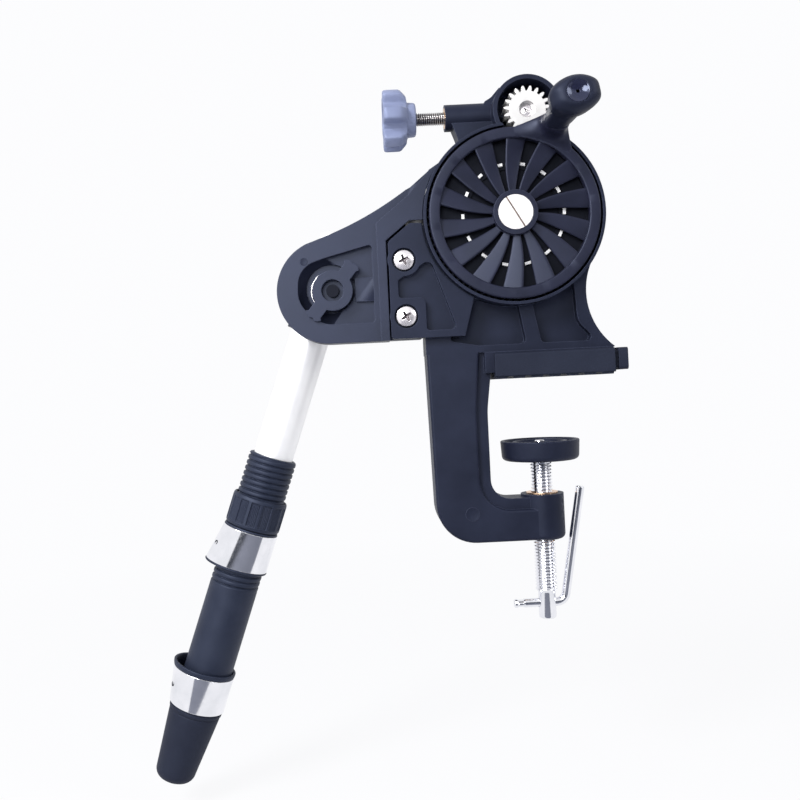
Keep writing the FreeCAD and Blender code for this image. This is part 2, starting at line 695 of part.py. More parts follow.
def build_drive_gear():
    gear = new_body("drive_gear", Placement(Vector(wheel_x, 0, wheel_z), Rotation()))
    back = "Dims.gear_front - Dims.gear_width"
    prism(gear, gear_outline(int(size("gear_teeth")), size("mesh_angle")), back, "Dims.gear_front")
    rim_inner = gear_tip - 2.25 * module - size("gear_rim")
    for side in ("front", "back"):
        ring = sketch(gear, "XZ_Plane", [circle(10), circle(30)],
                      z="Dims.gear_front" if side == "front" else "Dims.gear_front - Dims.gear_width")
        bound_circles(ring, "9.6", str(rim_inner))
        pocket(gear, ring, "(Dims.gear_width - Dims.gear_web) / 2", reverse=side == "back")
    rib = sketch(gear, "XZ_Plane", [circle(20), circle(22)], z="Dims.gear_front - Dims.gear_width / 2")
    bound_circles(rib, "Dims.gear_rib_radius - 0.9", "Dims.gear_rib_radius + 0.9")
    pad(gear, rib, "Dims.gear_web / 2 + 0.7")
    disc(gear, "9", "Dims.housing_floor + 1.4", "Dims.gear_front - Dims.gear_width / 2")
    prism(gear, hexagon(12.0), "Dims.gear_front - 1", "Dims.gear_front + 2.4")
    bore(gear, "Dims.axle_radius + Dims.running_gap", "Dims.housing_floor", "Dims.gear_front + 4")


def build_pinion():
    pinion = new_body("pinion", Placement(Vector(pinion_x, 0, pinion_z), Rotation()))
    teeth = int(size("pinion_teeth"))
    facing = size("mesh_angle") + 180 + 180 / teeth
    back = "Dims.pinion_front - Dims.pinion_width"
    prism(pinion, gear_outline(teeth, facing), back, "Dims.pinion_front")
    disc(pinion, "Dims.drum_radius", "Dims.pinion_floor + 0.4", back)
    bore(pinion, "3.7", "Dims.pinion_front - 3.6", "Dims.pinion_front + 1")
    bore(pinion, "Dims.spindle_radius + 0.02", "Dims.pinion_floor", "Dims.pinion_front")


# ---- crank wheel with turbine blades ----

def blade_section(radius, width, thickness, tilt, shift, lift):
    """Corners of one blade's cross-section, in a plane square to its radius."""
    turn = math.radians(tilt)
    corners = []
    for side, face in ((-1, -1), (1, -1), (1, 1), (-1, 1)):
        along, across = side * width / 2, face * thickness / 2
        corners.append((-(lift + along * math.sin(turn) + across * math.cos(turn)),
                        shift + along * math.cos(turn) - across * math.sin(turn), 0))
    return rounded(corners)


def build_crank_wheel():
    wheel = new_body("crank_wheel", Placement(Vector(wheel_x, 0, wheel_z), Rotation()))
    count = int(size("blade_count"))
    thick = size("blade_thickness")
    level = size("ring_front") - size("blade_depth")
    stations = [(size("hub_outer") - 1.5, 0.74, 0.5), (17.0, 0.66, 1.2), (25.0, 0.62, 0.2),
                (size("ring_inner") + 0.8, 0.58, -3.0)]
    sections = []
    for radius, share, shift in stations:
        width = 2 * math.pi * radius / count * share + 1.0
        sections.append(sketch(wheel, "YZ_Plane", blade_section(radius, width, thick, size("blade_tilt"), shift, level), z=str(radius)))
    blade = wheel.newObject("PartDesign::AdditiveLoft", "blade")
    blade.Profile = sections[0]
    blade.Sections = sections[1:]
    polar(wheel, blade, "Y_Axis", "Dims.blade_count")
    # hub with its recess for the axle's head
    disc(wheel, "Dims.hub_outer", "Dims.gear_front + 0.1", "Dims.hub_front")
    ring = sketch(wheel, "XZ_Plane", [circle(33), circle(38)], z="Dims.ring_back")
    bound_circles(ring, "Dims.ring_inner", "Dims.ring_outer")
    pad(wheel, ring, "Dims.ring_front - Dims.ring_back")
    soften(wheel, 0.7, lambda edge: edge.Curve.TypeId == "Part::GeomCircle"
           and abs(middle_of(edge).y + wheel.Placement.Base.y + size("ring_front")) < 1e-3)
    # ear that carries the crank knob, standing in front of the housing's rim
    turn = math.degrees(crank_turn)
    reach, ear = size("crank_radius"), size("ear_radius")
    far = reach + 2.0
    flank = rounded([(ring_x(turn, 20), ring_y(turn, 20), 0), (ring_x(turn, -20), ring_y(turn, -20), 0),
                     (far * math.cos(crank_turn) + ear * math.sin(crank_turn),
                      far * math.sin(crank_turn) - ear * math.cos(crank_turn), 3),
                     (far * math.cos(crank_turn) - ear * math.sin(crank_turn),
                      far * math.sin(crank_turn) + ear * math.cos(crank_turn), 3)])
    rise = prism(wheel, flank, "Dims.ring_front - 0.4", "Dims.ear_front")
    rise.TaperAngle = -size("ear_taper")
    knob_place = {"x": str(knob_x - wheel_x), "y": str(knob_z - wheel_z)}
    disc(wheel, "Dims.ear_post_radius", "Dims.ring_front + 0.4", "Dims.ear_post_front", **knob_place)
    bore(wheel, "Dims.hub_recess", "Dims.hub_front - 1.7", "Dims.hub_front + 1")
    bore(wheel, "Dims.axle_radius + Dims.running_gap", "Dims.gear_front - 1", "Dims.hub_front")
    cut(wheel, hexagon(12.04), "Dims.gear_front", "Dims.gear_front + 2.6")
    bore(wheel, "Dims.knob_pin_radius + 0.02", "Dims.ring_front - 1", "Dims.ear_post_front + 1", **knob_place)


def ring_x(middle, spread):
    radius = (size("ring_inner") + size("ring_outer")) / 2
    return radius * math.cos(math.radians(middle + spread))


def ring_y(middle, spread):
    radius = (size("ring_inner") + size("ring_outer")) / 2
    return radius * math.sin(math.radians(middle + spread))


# ---- crank knob: turns on its own pin ----

def lens(wide, tall, flat):
    """Knob section: two bulging arcs that meet a short flat at each end."""
    x, y = wide / 2, flat / 2
    return [Part.Arc(Vector(-x, y, 0), Vector(0, tall / 2, 0), Vector(x, y, 0)), Part.LineSegment(Vector(x, y, 0), Vector(x, -y, 0)),
            Part.Arc(Vector(x, -y, 0), Vector(0, -tall / 2, 0), Vector(-x, -y, 0)),
            Part.LineSegment(Vector(-x, -y, 0), Vector(-x, y, 0))]


def build_knob():
    place = Placement(Vector(knob_x, 0, knob_z), Rotation(Vector(0, 1, 0), -10))
    grip = new_body("knob_grip", place)
    back, edge, front = size("knob_back"), size("knob_edge"), size("knob_front")
    wide, tall = size("knob_wide"), size("knob_tall")
    handle = [(back, 0.62, 0.60), (back + 2.5, 0.72, 0.66), (edge - 10, 0.88, 0.86), (edge, 1.0, 1.0)]
    dome = [(edge, 1.0, 1.0), (edge + 2.6, 0.90, 0.92), (edge + 4.2, 0.74, 0.78), (front, 0.56, 0.66)]
    for name, levels in (("handle", handle), ("dome", dome)):
        sections = [sketch(grip, "XZ_Plane", lens(wide * across, tall * high, 0.47 * tall * high), z=str(depth))
                    for depth, across, high in levels]
        loft = grip.newObject("PartDesign::AdditiveLoft", "knob_" + name)
        loft.Profile = sections[0]
        loft.Sections = sections[1:]
    bore(grip, "Dims.knob_cap_radius + 0.02", "Dims.knob_front - 2.6", "Dims.knob_front + 1")
    bore(grip, "Dims.knob_pin_radius + 1.7", "Dims.knob_front - 8.2", "Dims.knob_front - 2")
    bore(grip, "Dims.knob_pin_radius + Dims.running_gap", "Dims.knob_back - 1", "Dims.knob_front - 4")

    cap = new_body("knob_cap", place)
    disc(cap, "Dims.knob_cap_radius", "Dims.knob_front - 2.5", "Dims.knob_front + 0.4")
    soften(cap, 0.5, lambda edge: abs(middle_of(edge).y + front + 0.4) < 1e-3)
    bore(cap, "0.7", "Dims.knob_front - 1.5", "Dims.knob_front + 1")

    pin = new_body("knob_axle", place)
    disc(pin, "Dims.knob_pin_radius", "Dims.ring_front + 0.2", "Dims.knob_front - 7")
    disc(pin, "Dims.knob_pin_radius + 1.4", "Dims.knob_front - 7.9", "Dims.knob_front - 5.5")


# ---- axle of the crank wheel ----

def build_axle():
    place = Placement(Vector(wheel_x, 0, wheel_z), Rotation())
    bolt = new_body("axle_bolt", place)
    floor_top = "Dims.housing_floor + 0.5"
    disc(bolt, "Dims.axle_stem_radius", "-Dims.frame_half + 0.4", floor_top)
    disc(bolt, "Dims.axle_radius", floor_top, "Dims.hub_front - 1.4")
    disc(bolt, "Dims.axle_head_radius", "Dims.hub_front - 1.4", "Dims.hub_front + 0.1")
    slot = sketch(bolt, "XZ_Plane", rectangle(-8, -0.35, 8, 0.35), z="Dims.hub_front + 0.2", turn=-60)
    pocket(bolt, slot, "0.8")

    nut = new_body("axle_nut", place)
    prism(nut, hexagon(10), "-Dims.frame_half + 0.6", "-Dims.frame_half + 5.2")
    bore(nut, "Dims.axle_stem_radius + 0.02", "-Dims.frame_half", "-Dims.frame_half + 6")

    washer = new_body("axle_washer", place)
    disc(washer, "7", "Dims.housing_floor + 0.55", "Dims.housing_floor + 1.35")
    bore(washer, "Dims.axle_radius + 0.1", "Dims.housing_floor", "Dims.gear_front")


# ---- spool spindle ----

def behind(label, x=None, z=None):
    """A body whose own Z runs backwards (+Y) along the spindle."""
    return new_body(label, Placement(Vector(pinion_x, 0, pinion_z), Rotation(Vector(1, 0, 0), -90)))


def build_spindle():
    r = size("spindle_radius")
    end = size("spindle_end")
    shaft = behind("spindle_shaft")
    stop = size("bearing_back") + 1.3
    front = -(size("pinion_front") - 3.7)
    groove, core = size("end_groove"), r - size("end_groove_depth")
    nut_base = size("inner_cone_back") + 2 * size("cone_length") + size("spool_room") + 0.3
    thread_end = nut_base + size("spool_nut_length") + 0.5
    turned(shaft, [(0, front), (r, front), (r, stop), (r + 2.4, stop), (r + 2.4, stop + 1.4), (r, stop + 1.4),
                   (r, thread_end), (core, thread_end), (core, thread_end + groove), (r, thread_end + groove),
                   (r, end - 0.8), (r - 0.8, end), (0, end)])
    hole = sketch(shaft, "XY_Plane", [circle(1.3)], z=str(front))
    pocket(shaft, hole, "8", reverse=True)

    screw = new_body("pinion_screw", Placement(Vector(pinion_x, 0, pinion_z), Rotation()))
    disc(screw, "1.28", str(-front - 7.5), str(-front))
    disc(screw, "2.7", str(-front + 0.05), str(-front + 2.2))
    disc(screw, "1.28", str(-front - 0.1), str(-front + 0.3))

    bushes = []
    inner_radius = r + gap
    outer_radius = size("bush_radius") - 0.02
    for name, start, finish in (("front_bush", 1.0, 5.0), ("rear_bush", size("bearing_back") - 4.2, size("bearing_back") - 0.1)):
        outside = cylinder(name + "_outside", str(outer_radius), str(finish - start),
                           towards_crank(pinion_x, pinion_z, -finish))
        inside = cylinder(name + "_inside", str(inner_radius), str(finish - start + 2),
                          towards_crank(pinion_x, pinion_z, -finish - 1))
        made = doc.addObject("Part::Cut", name)
        made.Base = outside
        made.Tool = inside
        bushes.append(made)
    group("spindle_bushes", bushes)

    cone_r, nose, length = size("cone_radius"), size("cone_nose"), size("cone_length")
    start = size("inner_cone_back")
    cone = behind("inner_cone")
    turned(cone, [(r + 0.02, start), (cone_r, start), (cone_r, start + 2.5), (nose, start + length),
                  (r + 0.02, start + length)])
    outer_start = start + length + size("spool_room")
    sliding = behind("outer_cone")
    turned(sliding, [(r + gap, outer_start), (nose, outer_start), (cone_r, outer_start + length - 2.5),
                     (cone_r, outer_start + length), (r + gap, outer_start + length)])
    knob = behind("spool_nut")
    nut_end = nut_base + size("spool_nut_length")
    turned(knob, [(r + gap, nut_base), (6.0, nut_base), (6.0, nut_base + 2), (9.0, nut_base + 2), (9.0, nut_end - 1),
                  (8.0, nut_end), (r + gap, nut_end)])
    notch = sketch(knob, "XY_Plane", [circle(1.6, 9.6, 0)], z=str(nut_base + 2))
    first = pocket(knob, notch, "6.5", reverse=True)
    polar(knob, first, "Z_Axis", "12")


# ---- brake screw ----

def build_brake():
    depth, radius = size("brake_depth"), size("brake_screw_radius")
    place = Placement(Vector(0, -depth, pinion_z + size("brake_rise")), Rotation(Vector(0, 1, 0), 90))
    tip = pinion_x - size("drum_radius") - size("brake_gap")
    shoe_back = tip - 4.0
    shoe = new_body("brake_shoe", place)
    first = sketch(shoe, "XY_Plane", [circle(3)], z=str(shoe_back))
    pad(shoe, bound_circles(first, "Dims.brake_shoe_radius"), "4")

    rod = new_body("brake_screw", place)
    knob_face = size("brake_knob_left") + 4
    thread = sketch(rod, "XY_Plane", [circle(3)], z=str(knob_face))
    pad(rod, bound_circles(thread, "Dims.brake_screw_radius"), str(shoe_back - 0.05 - knob_face))

    insert = new_body("brake_nut_insert", place)
    sleeve = sketch(insert, "XY_Plane", [circle(3), circle(5)], z="Dims.brake_boss_end - 0.1")
    bound_circles(sleeve, "Dims.brake_screw_radius + Dims.running_gap", "Dims.brake_screw_radius + 1.58")
    pad(insert, sleeve, "9")

    knob = new_body("brake_knob", place)
    left, right = size("brake_knob_left"), size("brake_knob_hub_end")
    reach = size("brake_knob_radius")
    lobes = 6
    outline = []
    for number in range(lobes):
        middle = 360 / lobes * number + 30
        for angle, radius_at, rounding in ((-17, reach, 2.6), (17, reach, 2.6), (30, reach * 0.72, 2.2)):
            turn = math.radians(middle + angle)
            outline.append((radius_at * math.cos(turn), radius_at * math.sin(turn), rounding))
    pad(knob, sketch(knob, "XY_Plane", rounded(outline), z=str(left)), "11")
    hub = sketch(knob, "XY_Plane", [circle(8)], z=str(left + 10))
    pad(knob, bound_circles(hub, str(8.2)), str(right - left - 10))
    dish = sketch(knob, "XY_Plane", [circle(8)], z=str(left))
    pocket(knob, bound_circles(dish, "8.5"), "2.5", reverse=True)
    drill = sketch(knob, "XY_Plane", [circle(3)], z=str(knob_face))
    pocket(knob, bound_circles(drill, "Dims.brake_screw_radius + 0.02"), str(right - knob_face + 1), reverse=True)


# ---- clamp screw, pressure pad and tommy bar ----

def build_clamp():
    r, core = size("screw_radius"), size("screw_core")
    top, thick = size("pad_top"), size("pad_thickness")
    insert = new_body("clamp_nut_insert")
    upper = size("arm_top") + size("boss_rise")
    lower = arm_bottom - size("boss_sink")
    inner_radius = r + gap
    turned(insert, [(inner_radius, lower + 0.4), (r + 1.66, lower + 0.4), (r + 1.66, upper + 0.02), (r + 2.2, upper + 0.02),
                    (r + 2.2, upper + 0.6), (inner_radius, upper + 0.6)])

    cushion = new_body("pressure_pad")
    radius = size("pad_radius")
    turned(cushion, [(3.6, top - thick), (radius - 0.7, top - thick, 2.4), (radius, top),
                     (radius - 1.8, top), (radius - 2.4, top - 1.8), (radius - 5.2, top - 1.8), (radius - 5.6, top - 0.5),
                     (radius - 7.0, top - 0.5), (radius - 7.6, top - 2.6), (5.8, top - 2.6), (5.8, top - 4.2),
                     (3.6, top - 4.2)])

    screw = new_body("clamp_screw")
    end, plain = size("screw_end"), size("plain_start")
    stud_top = top - 2.0
    turned(screw, [(0, end), (core - 0.6, end), (core, end + 0.6), (core, plain), (r, plain + 1.2), (r, top - thick - 0.1),
                   (3.3, top - thick - 0.1), (3.3, top - 3.6), (2.5, top - 3.6), (2.5, stud_top - 0.4), (2.1, stud_top),
                   (0, stud_top)])
    hole = sketch(screw, "YZ_Plane", [circle(2)], y="Dims.bar_height", z="-10")
    pocket(screw, bound_circles(hole, "Dims.bar_radius + Dims.running_gap"), "20", reverse=True)

    washer = new_body("pad_washer")
    turned(washer, [(2.52, top - 3.55), (5.4, top - 3.55), (5.4, top - 2.9), (2.52, top - 2.9)])

    # bent bar through the screw's end: a straight cross part, an elbow and a splayed long leg
    bar_r, height = size("bar_radius"), size("bar_height")
    left, elbow = size("bar_left"), size("bar_elbow")
    bend = 4.6
    splay = math.radians(90 - size("bar_splay"))
    corner = Vector(elbow, 0, height)
    leg = Vector(math.cos(splay), 0, math.sin(splay))
    trim = bend * math.tan(splay / 2)
    start = Vector(left, 0, height)
    before = corner - Vector(1, 0, 0) * trim
    after = corner + leg * trim
    inward = Vector(leg.x - 1, 0, leg.z)
    inward.normalize()
    centre = corner + inward * (bend / math.cos(splay / 2))
    spine = Part.Wire([Part.LineSegment(start, before).toShape(),
                       Part.Arc(before, centre - inward * bend, after).toShape(),
                       Part.LineSegment(after, corner + leg * size("bar_reach")).toShape()])
    ring = Part.Wire([Part.Circle(start, Vector(1, 0, 0), bar_r).toShape()])
    rod = spine.makePipeShell([ring], True, False)
    # two ears pressed out of the free end keep the bar from falling through
    ear = Part.makeBox(3.0, 2 * bar_r + 1.5, 1.4, Vector(left + 1.6, -bar_r - 0.75, height - 0.7))
    bar = doc.addObject("Part::Feature", "tommy_bar")
    bar.Shape = rod.fuse(ear).removeSplitter()
    bar.Label = "tommy_bar"
    parts.append(bar)


# ---- reel arm ----

def build_pivot():
    """Key that locks the arm in the lobe: journal, collar and two ears with serrated ends."""
    place = Placement(Vector(pivot_x, 0, pivot_z), Rotation())
    key = new_body("pivot_key", place)
    journal_back = "Dims.bracket_back - 0.3"
    disc(key, "Dims.key_journal", journal_back, "3")
    disc(key, "Dims.key_radius", "2.6", "Dims.key_front")
    width, reach = size("ear_width"), size("ear_reach")
    tooth = 0.9
    for side in (0, 180):
        ear = rounded([(4, -width / 2, 0), (reach - 2.4, -width / 2, 0.3), (reach - 1.8, -width / 2 - tooth, 0.3),
                       (reach - 0.6, -width / 2 + 0.3, 0.3), (reach, -1.2, 0.4), (reach - 0.7, 0.4, 0.3), (reach, 1.6, 0.4),
                       (reach - 0.8, width / 2, 0.3), (reach - 2.0, width / 2 + tooth, 0.3), (reach - 2.8, width / 2, 0.3),
                       (4, width / 2, 0)])
        drawn = sketch(key, "XZ_Plane", ear, z="Dims.key_ear_back", turn=size("ear_angle") + side)
        pad(key, drawn, "Dims.key_front - Dims.key_ear_back")
    bore(key, "Dims.key_recess", "Dims.key_front - 3.2", "Dims.key_front + 1")
    bore(key, "1.6", "Dims.bracket_back - 1", "Dims.key_front")

    washer = new_body("pivot_washer", place)
    disc(washer, "Dims.crescent_radius - 1.7", "1.65", "2.3")
    bore(washer, "Dims.key_journal + 0.2", "1", "3")

    rivet = new_body("holder_screw", place)
    disc(rivet, "1.55", "-Dims.pipe_depth + Dims.pipe_radius + 2", "Dims.key_front - 3.1")
    disc(rivet, "2.9", "Dims.key_front - 3.15", "Dims.key_front - 1.6")


def arm_place():
    """Own Z runs down the pipe, own X points away from the lean and own Y stays +Y."""
    lean = size("arm_lean")
    across = size("pipe_offset")
    turn = math.radians(lean)
    base = Vector(pivot_x - across * math.cos(turn), size("pipe_depth"), pivot_z + across * math.sin(turn))
    return Placement(base, Rotation(Vector(0, 1, 0), 180 + lean))


def build_arm():
    place = arm_place()
    r, wall = size("pipe_radius"), size("pipe_wall")
    pipe = new_body("arm_pipe", place)
    start, finish = size("pipe_top"), size("seat_end") - 6
    turned(pipe, [(r - wall, start), (r, start), (r, finish), (r - wall, finish)])

    cap = new_body("pipe_cap", place)
    turned(cap, [(0, start - 3.4), (2.2, start - 3.4), (2.4, start - 2.2), (r - 2.5, start - 1.8, 2), (r, start - 0.1),
                 (r - wall - 0.05, start - 0.1), (r - wall - 0.05, start + 6), (0, start + 6)])

    # holder: a sleeve round the pipe with a flange that turns against the bracket's back
    holder = new_body("pipe_holder", place)
    sleeve = sketch(holder, "XY_Plane", [circle(12)], z="-20")
    pad(holder, bound_circles(sleeve, "Dims.pipe_radius + 2.2"), "40")
    flange_y = -(size("pipe_depth") + size("bracket_back"))
    flange = sketch(holder, "XZ_Plane", [circle(14, -size("pipe_offset"), 0)], z=str(-flange_y - 0.3 - 3.6))
    pad(holder, flange, "3.6")
    neck = sketch(holder, "XZ_Plane", rectangle(-size("pipe_offset") - 9, -14, 8.5, 14, 2), z="4")
    pad(holder, neck, str(-flange_y - 0.3 - 4 - 1.5))
    tunnel = sketch(holder, "XY_Plane", [circle(9)], z="-25")
    pocket(holder, bound_circles(tunnel, "Dims.pipe_radius + 0.02"), "60", reverse=True)
    drill = sketch(holder, "XZ_Plane", [circle(1.6, -size("pipe_offset"), 0)], z=str(-flange_y + 2))
    pocket(holder, drill, "20")

    seat = new_body("seat_tube", place)
    body_r, low = size("thread_radius"), size("lower_hood_end") - 8
    profile = [(r + 0.03, size("seat_start")), (body_r - 0.9, size("seat_start")), (body_r, size("seat_start") + 1.2),
               (body_r, low), (body_r - 2.0, low), (body_r - 2.0, size("seat_end")), (r + 0.03, size("seat_end"))]
    turned(seat, profile)


def hood_loft(holder, stations, shrink=0.0):
    """Loft of ovals down the pipe; each station is (level, near side, reel side, half depth)."""
    sections = []
    for level, near, far, deep in stations:
        wide = near + far - 2 * shrink
        middle = (near - far) / 2
        sections.append(sketch(holder, "XY_Plane", stadium(wide, 2 * (deep - shrink), -middle), z=str(level)))
    return sections


def stadium(wide, deep, middle):
    """An ellipse whose longer axis may lie either way, centred at a shift along X."""
    if wide >= deep:
        return [Part.Ellipse(Vector(middle, 0, 0), wide / 2, deep / 2)]
    upright = Part.Ellipse(Vector(middle, deep / 2, 0), Vector(middle - wide / 2, 0, 0), Vector(middle, 0, 0))
    return [upright]


def build_hoods():
    place = arm_place()
    body_r, wall, ring_wall = size("thread_radius"), size("hood_wall"), size("hood_ring_wall")
    start, finish, flare = size("nut_end"), size("hood_end"), size("hood_flare")
    near = body_r + 1.5

    def shell(label, stations, shrink, clear):
        made = new_body(label, place)
        outside = hood_loft(made, stations, shrink)
        solid = made.newObject("PartDesign::AdditiveLoft", label + "_outside")
        solid.Profile = outside[0]
        solid.Sections = outside[1:]
        solid.Ruled = True
        beyond = [at_level(stations, stations[0][0] - 0.05), at_level(stations, stations[-1][0] + 0.05)]
        inside = hood_loft(made, beyond, shrink + clear)
        hollow = made.newObject("PartDesign::SubtractiveLoft", label + "_inside")
        hollow.Profile = inside[0]
        hollow.Sections = inside[1:]
        hollow.Ruled = True
        return made

    upper = [(start + 0.2, near, near, near), (finish, near, flare, near + 0.4)]
    shell("upper_hood_ring", [at_level(upper, start + 1.2), at_level(upper, finish - 1.0)], 0.0, ring_wall)
    hood = shell("upper_hood", upper, ring_wall + 0.05, wall)
    lip = [stadium(near + flare - 2 * shrink, 2 * (near + 0.4 - shrink), (flare - near) / 2)[0] for shrink in (0.1, 0.9)]
    pad(hood, sketch(hood, "XY_Plane", lip, z=str(finish - 0.9)), "0.9")

    low_start, low_end, low_flare = size("lower_hood_start"), size("lower_hood_end"), size("lower_hood_flare")
    lower = [(low_start, near, low_flare, near + 0.5), (low_end, near, near + 0.6, near)]
    shell("lower_hood_ring", [at_level(lower, low_start + 2.4), at_level(lower, low_end - 0.6)], 0.0, ring_wall)
    lower_hood = new_body("lower_hood", place)
    sections = hood_loft(lower_hood, lower, ring_wall + 0.05)
    solid = lower_hood.newObject("PartDesign::AdditiveLoft", "lower_hood_outside")
    solid.Profile = sections[0]
    solid.Sections = sections[1:]
    solid.Ruled = True
    edge = [stadium(near + low_flare - 2 * shrink, 2 * (near + 0.5 - shrink), (low_flare - near) / 2)[0]
            for shrink in (-0.1, 0.9)]
    pad(lower_hood, sketch(lower_hood, "XY_Plane", edge, z=str(low_start)), "1.6")
    throat = hood_loft(lower_hood, [at_level(lower, low_start - 0.5), at_level(lower, low_end - 8)], ring_wall + 0.05 + wall)
    hollow = lower_hood.newObject("PartDesign::SubtractiveLoft", "lower_hood_inside")
    hollow.Profile = throat[0]
    hollow.Sections = throat[1:]
    hollow.Ruled = True
    core = sketch(lower_hood, "XY_Plane", [circle(9)], z=str(low_end - 8.5))
    pocket(lower_hood, bound_circles(core, "Dims.thread_radius - 1.98"), "20", reverse=True)

    butt = new_body("butt_cap", place)
    cap_end = size("butt_end")
    outside = hood_loft(butt, [(low_end + 0.1, near - 0.5, near, near - 0.3), (cap_end - 3.5, 9.0, 10.5, 9.7), (cap_end - 1, 7.6, 9.2, 8.4),
                               (cap_end, 5.0, 6.6, 5.8)])
    solid = butt.newObject("PartDesign::AdditiveLoft", "butt_outside")
    solid.Profile = outside[0]
    solid.Sections = outside[1:]
    solid.Ruled = True
    mouth = sketch(butt, "XY_Plane", [circle(9)], z=str(low_end))
    pocket(butt, bound_circles(mouth, "Dims.thread_radius - 1.98"), str(size("seat_end") - low_end + 0.1), reverse=True)

    nut = new_body("hood_nut", place)
    first, last, nut_r = size("nut_start"), size("nut_end"), size("nut_radius")
    clearance = body_r + 0.3
    turned(nut, [(clearance, first), (nut_r - 0.5, first), (nut_r, first + 1.4), (nut_r, last - 1.2), (nut_r - 0.5, last),
                 (clearance, last)])
    slot = sketch(nut, "XY_Plane", rectangle(nut_r - 0.45, -1.0, nut_r + 1, 1.0), z=str(first + 1.4))
    flute = pocket(nut, slot, str(last - first - 2.8), reverse=True)
    polar(nut, flute, "Z_Axis", "12")


def at_level(stations, level):
    """The station that a straight run between the first and the last one has at a level."""
    first, last = stations[0], stations[-1]
    share = (level - first[0]) / (last[0] - first[0])
    return tuple(start + share * (end - start) for start, end in zip(first, last))


build_main_frame()
build_jaw_pad()
build_bracket()
build_bracket_screws()
build_drive_gear()
build_pinion()
build_crank_wheel()
build_knob()
build_axle()
build_spindle()
build_brake()
build_clamp()
build_pivot()
build_arm()
build_hoods()
doc.recompute()

for item in doc.Objects:
    if "Invalid" in item.State or "Error" in item.State:
        raise RuntimeError(f"{item.Label} failed: {item.State}")
os.makedirs("parts", exist_ok=True)
for made in parts:
    shape = made.Shape
    if shape.isNull() or not shape.isValid() or shape.Volume <= 0:
        raise RuntimeError(f"{made.Label} has no valid solid")
    print(f"{made.Label:20s} solids {len(shape.Solids)} volume {shape.Volume / 1000:8.2f} cm3")
    shape.exportStep(f"parts/{made.Label}.step")
print(len(parts), "nodes")
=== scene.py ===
import math

import bmesh
import bpy
import numpy as np
from mathutils import Matrix, Vector


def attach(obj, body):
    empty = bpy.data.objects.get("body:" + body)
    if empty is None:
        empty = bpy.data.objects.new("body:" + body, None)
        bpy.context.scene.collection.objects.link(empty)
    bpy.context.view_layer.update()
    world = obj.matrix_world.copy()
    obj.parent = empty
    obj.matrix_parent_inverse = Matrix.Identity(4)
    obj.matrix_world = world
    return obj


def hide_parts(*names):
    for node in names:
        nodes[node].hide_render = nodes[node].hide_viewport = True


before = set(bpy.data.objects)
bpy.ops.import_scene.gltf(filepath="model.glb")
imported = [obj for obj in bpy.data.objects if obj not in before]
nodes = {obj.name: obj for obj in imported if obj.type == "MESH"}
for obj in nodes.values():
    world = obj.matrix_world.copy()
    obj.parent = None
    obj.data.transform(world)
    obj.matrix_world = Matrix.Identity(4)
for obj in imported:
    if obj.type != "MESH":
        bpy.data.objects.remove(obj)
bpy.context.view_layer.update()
mm = 0.001
print("frame loaded:", len(nodes), "nodes")

# camera
# A level camera 400 mm in front of the clamp's middle plane, rolled a little, with a small shift.
cameraSet = {"x": -79.7, "y": -400.0, "z": -1.14, "lens": 38.8, "roll": 2.75, "shiftX": 0.04375,
             "shiftY": -0.015, "sensor": 36.0, "near": 0.01, "far": 20.0}


def makeCamera(settings):
    # looks along +Y; the rows right, up and backward are turned about the line of sight by the roll
    data = bpy.data.cameras.new("camera")
    data.lens = settings["lens"]
    data.sensor_width = settings["sensor"]
    data.shift_x, data.shift_y = settings["shiftX"], settings["shiftY"]
    data.clip_start, data.clip_end = settings["near"], settings["far"]
    camera = bpy.data.objects.new("camera", data)
    bpy.context.collection.objects.link(camera)
    roll = math.radians(settings["roll"])
    right = Vector((math.cos(roll), 0.0, -math.sin(roll)))
    up = Vector((math.sin(roll), 0.0, math.cos(roll)))
    turn = Matrix((right, up, Vector((0.0, -1.0, 0.0)))).transposed()
    place = Vector((settings["x"], settings["y"], settings["z"])) * mm
    camera.matrix_world = Matrix.Translation(place) @ turn.to_4x4()
    bpy.context.scene.camera = camera


makeCamera(cameraSet)


# materials
blueTint = (0.66, 0.74, 1.0)
mottleStops, grainHeight = (0.32, 0.68), 0.00012
smearStops, markHeight = (0.3, 0.7), 0.00005
rubFrom, rubTo = 0.97, 0.78  # how far an edge's soft normal leaves the true one before it looks worn


def newMaterial(name):
    # an empty material with its tree and its main shader
    material = bpy.data.materials.new(name)
    material.use_nodes = True
    tree = material.node_tree
    return material, tree.nodes, tree.links, tree.nodes["Principled BSDF"]


def noiseNode(nodeSet, links, scale, detail=3.0, stretch=(1.0, 1.0, 1.0)):
    # noise on Object coordinates, stretched by a mapping
    coords = nodeSet.new("ShaderNodeTexCoord")
    mapping = nodeSet.new("ShaderNodeMapping")
    mapping.inputs["Scale"].default_value = stretch
    noise = nodeSet.new("ShaderNodeTexNoise")
    noise.inputs["Scale"].default_value = scale
    noise.inputs["Detail"].default_value = detail
    links.new(coords.outputs["Object"], mapping.inputs["Vector"])
    links.new(mapping.outputs["Vector"], noise.inputs["Vector"])
    return noise


def rampNode(nodeSet, links, source, stops):
    # a colour for each stop's place, mixed between them
    ramp = nodeSet.new("ShaderNodeValToRGB")
    for element, (place, colour) in zip(ramp.color_ramp.elements, stops):
        element.position, element.color = place, (*colour, 1.0)
    links.new(source, ramp.inputs["Fac"])
    return ramp


def rangeNode(nodeSet, links, source, low, high):
    # 0 to 1 becomes low to high
    spread = nodeSet.new("ShaderNodeMapRange")
    spread.inputs["To Min"].default_value = low
    spread.inputs["To Max"].default_value = high
    links.new(source, spread.inputs["Value"])
    return spread


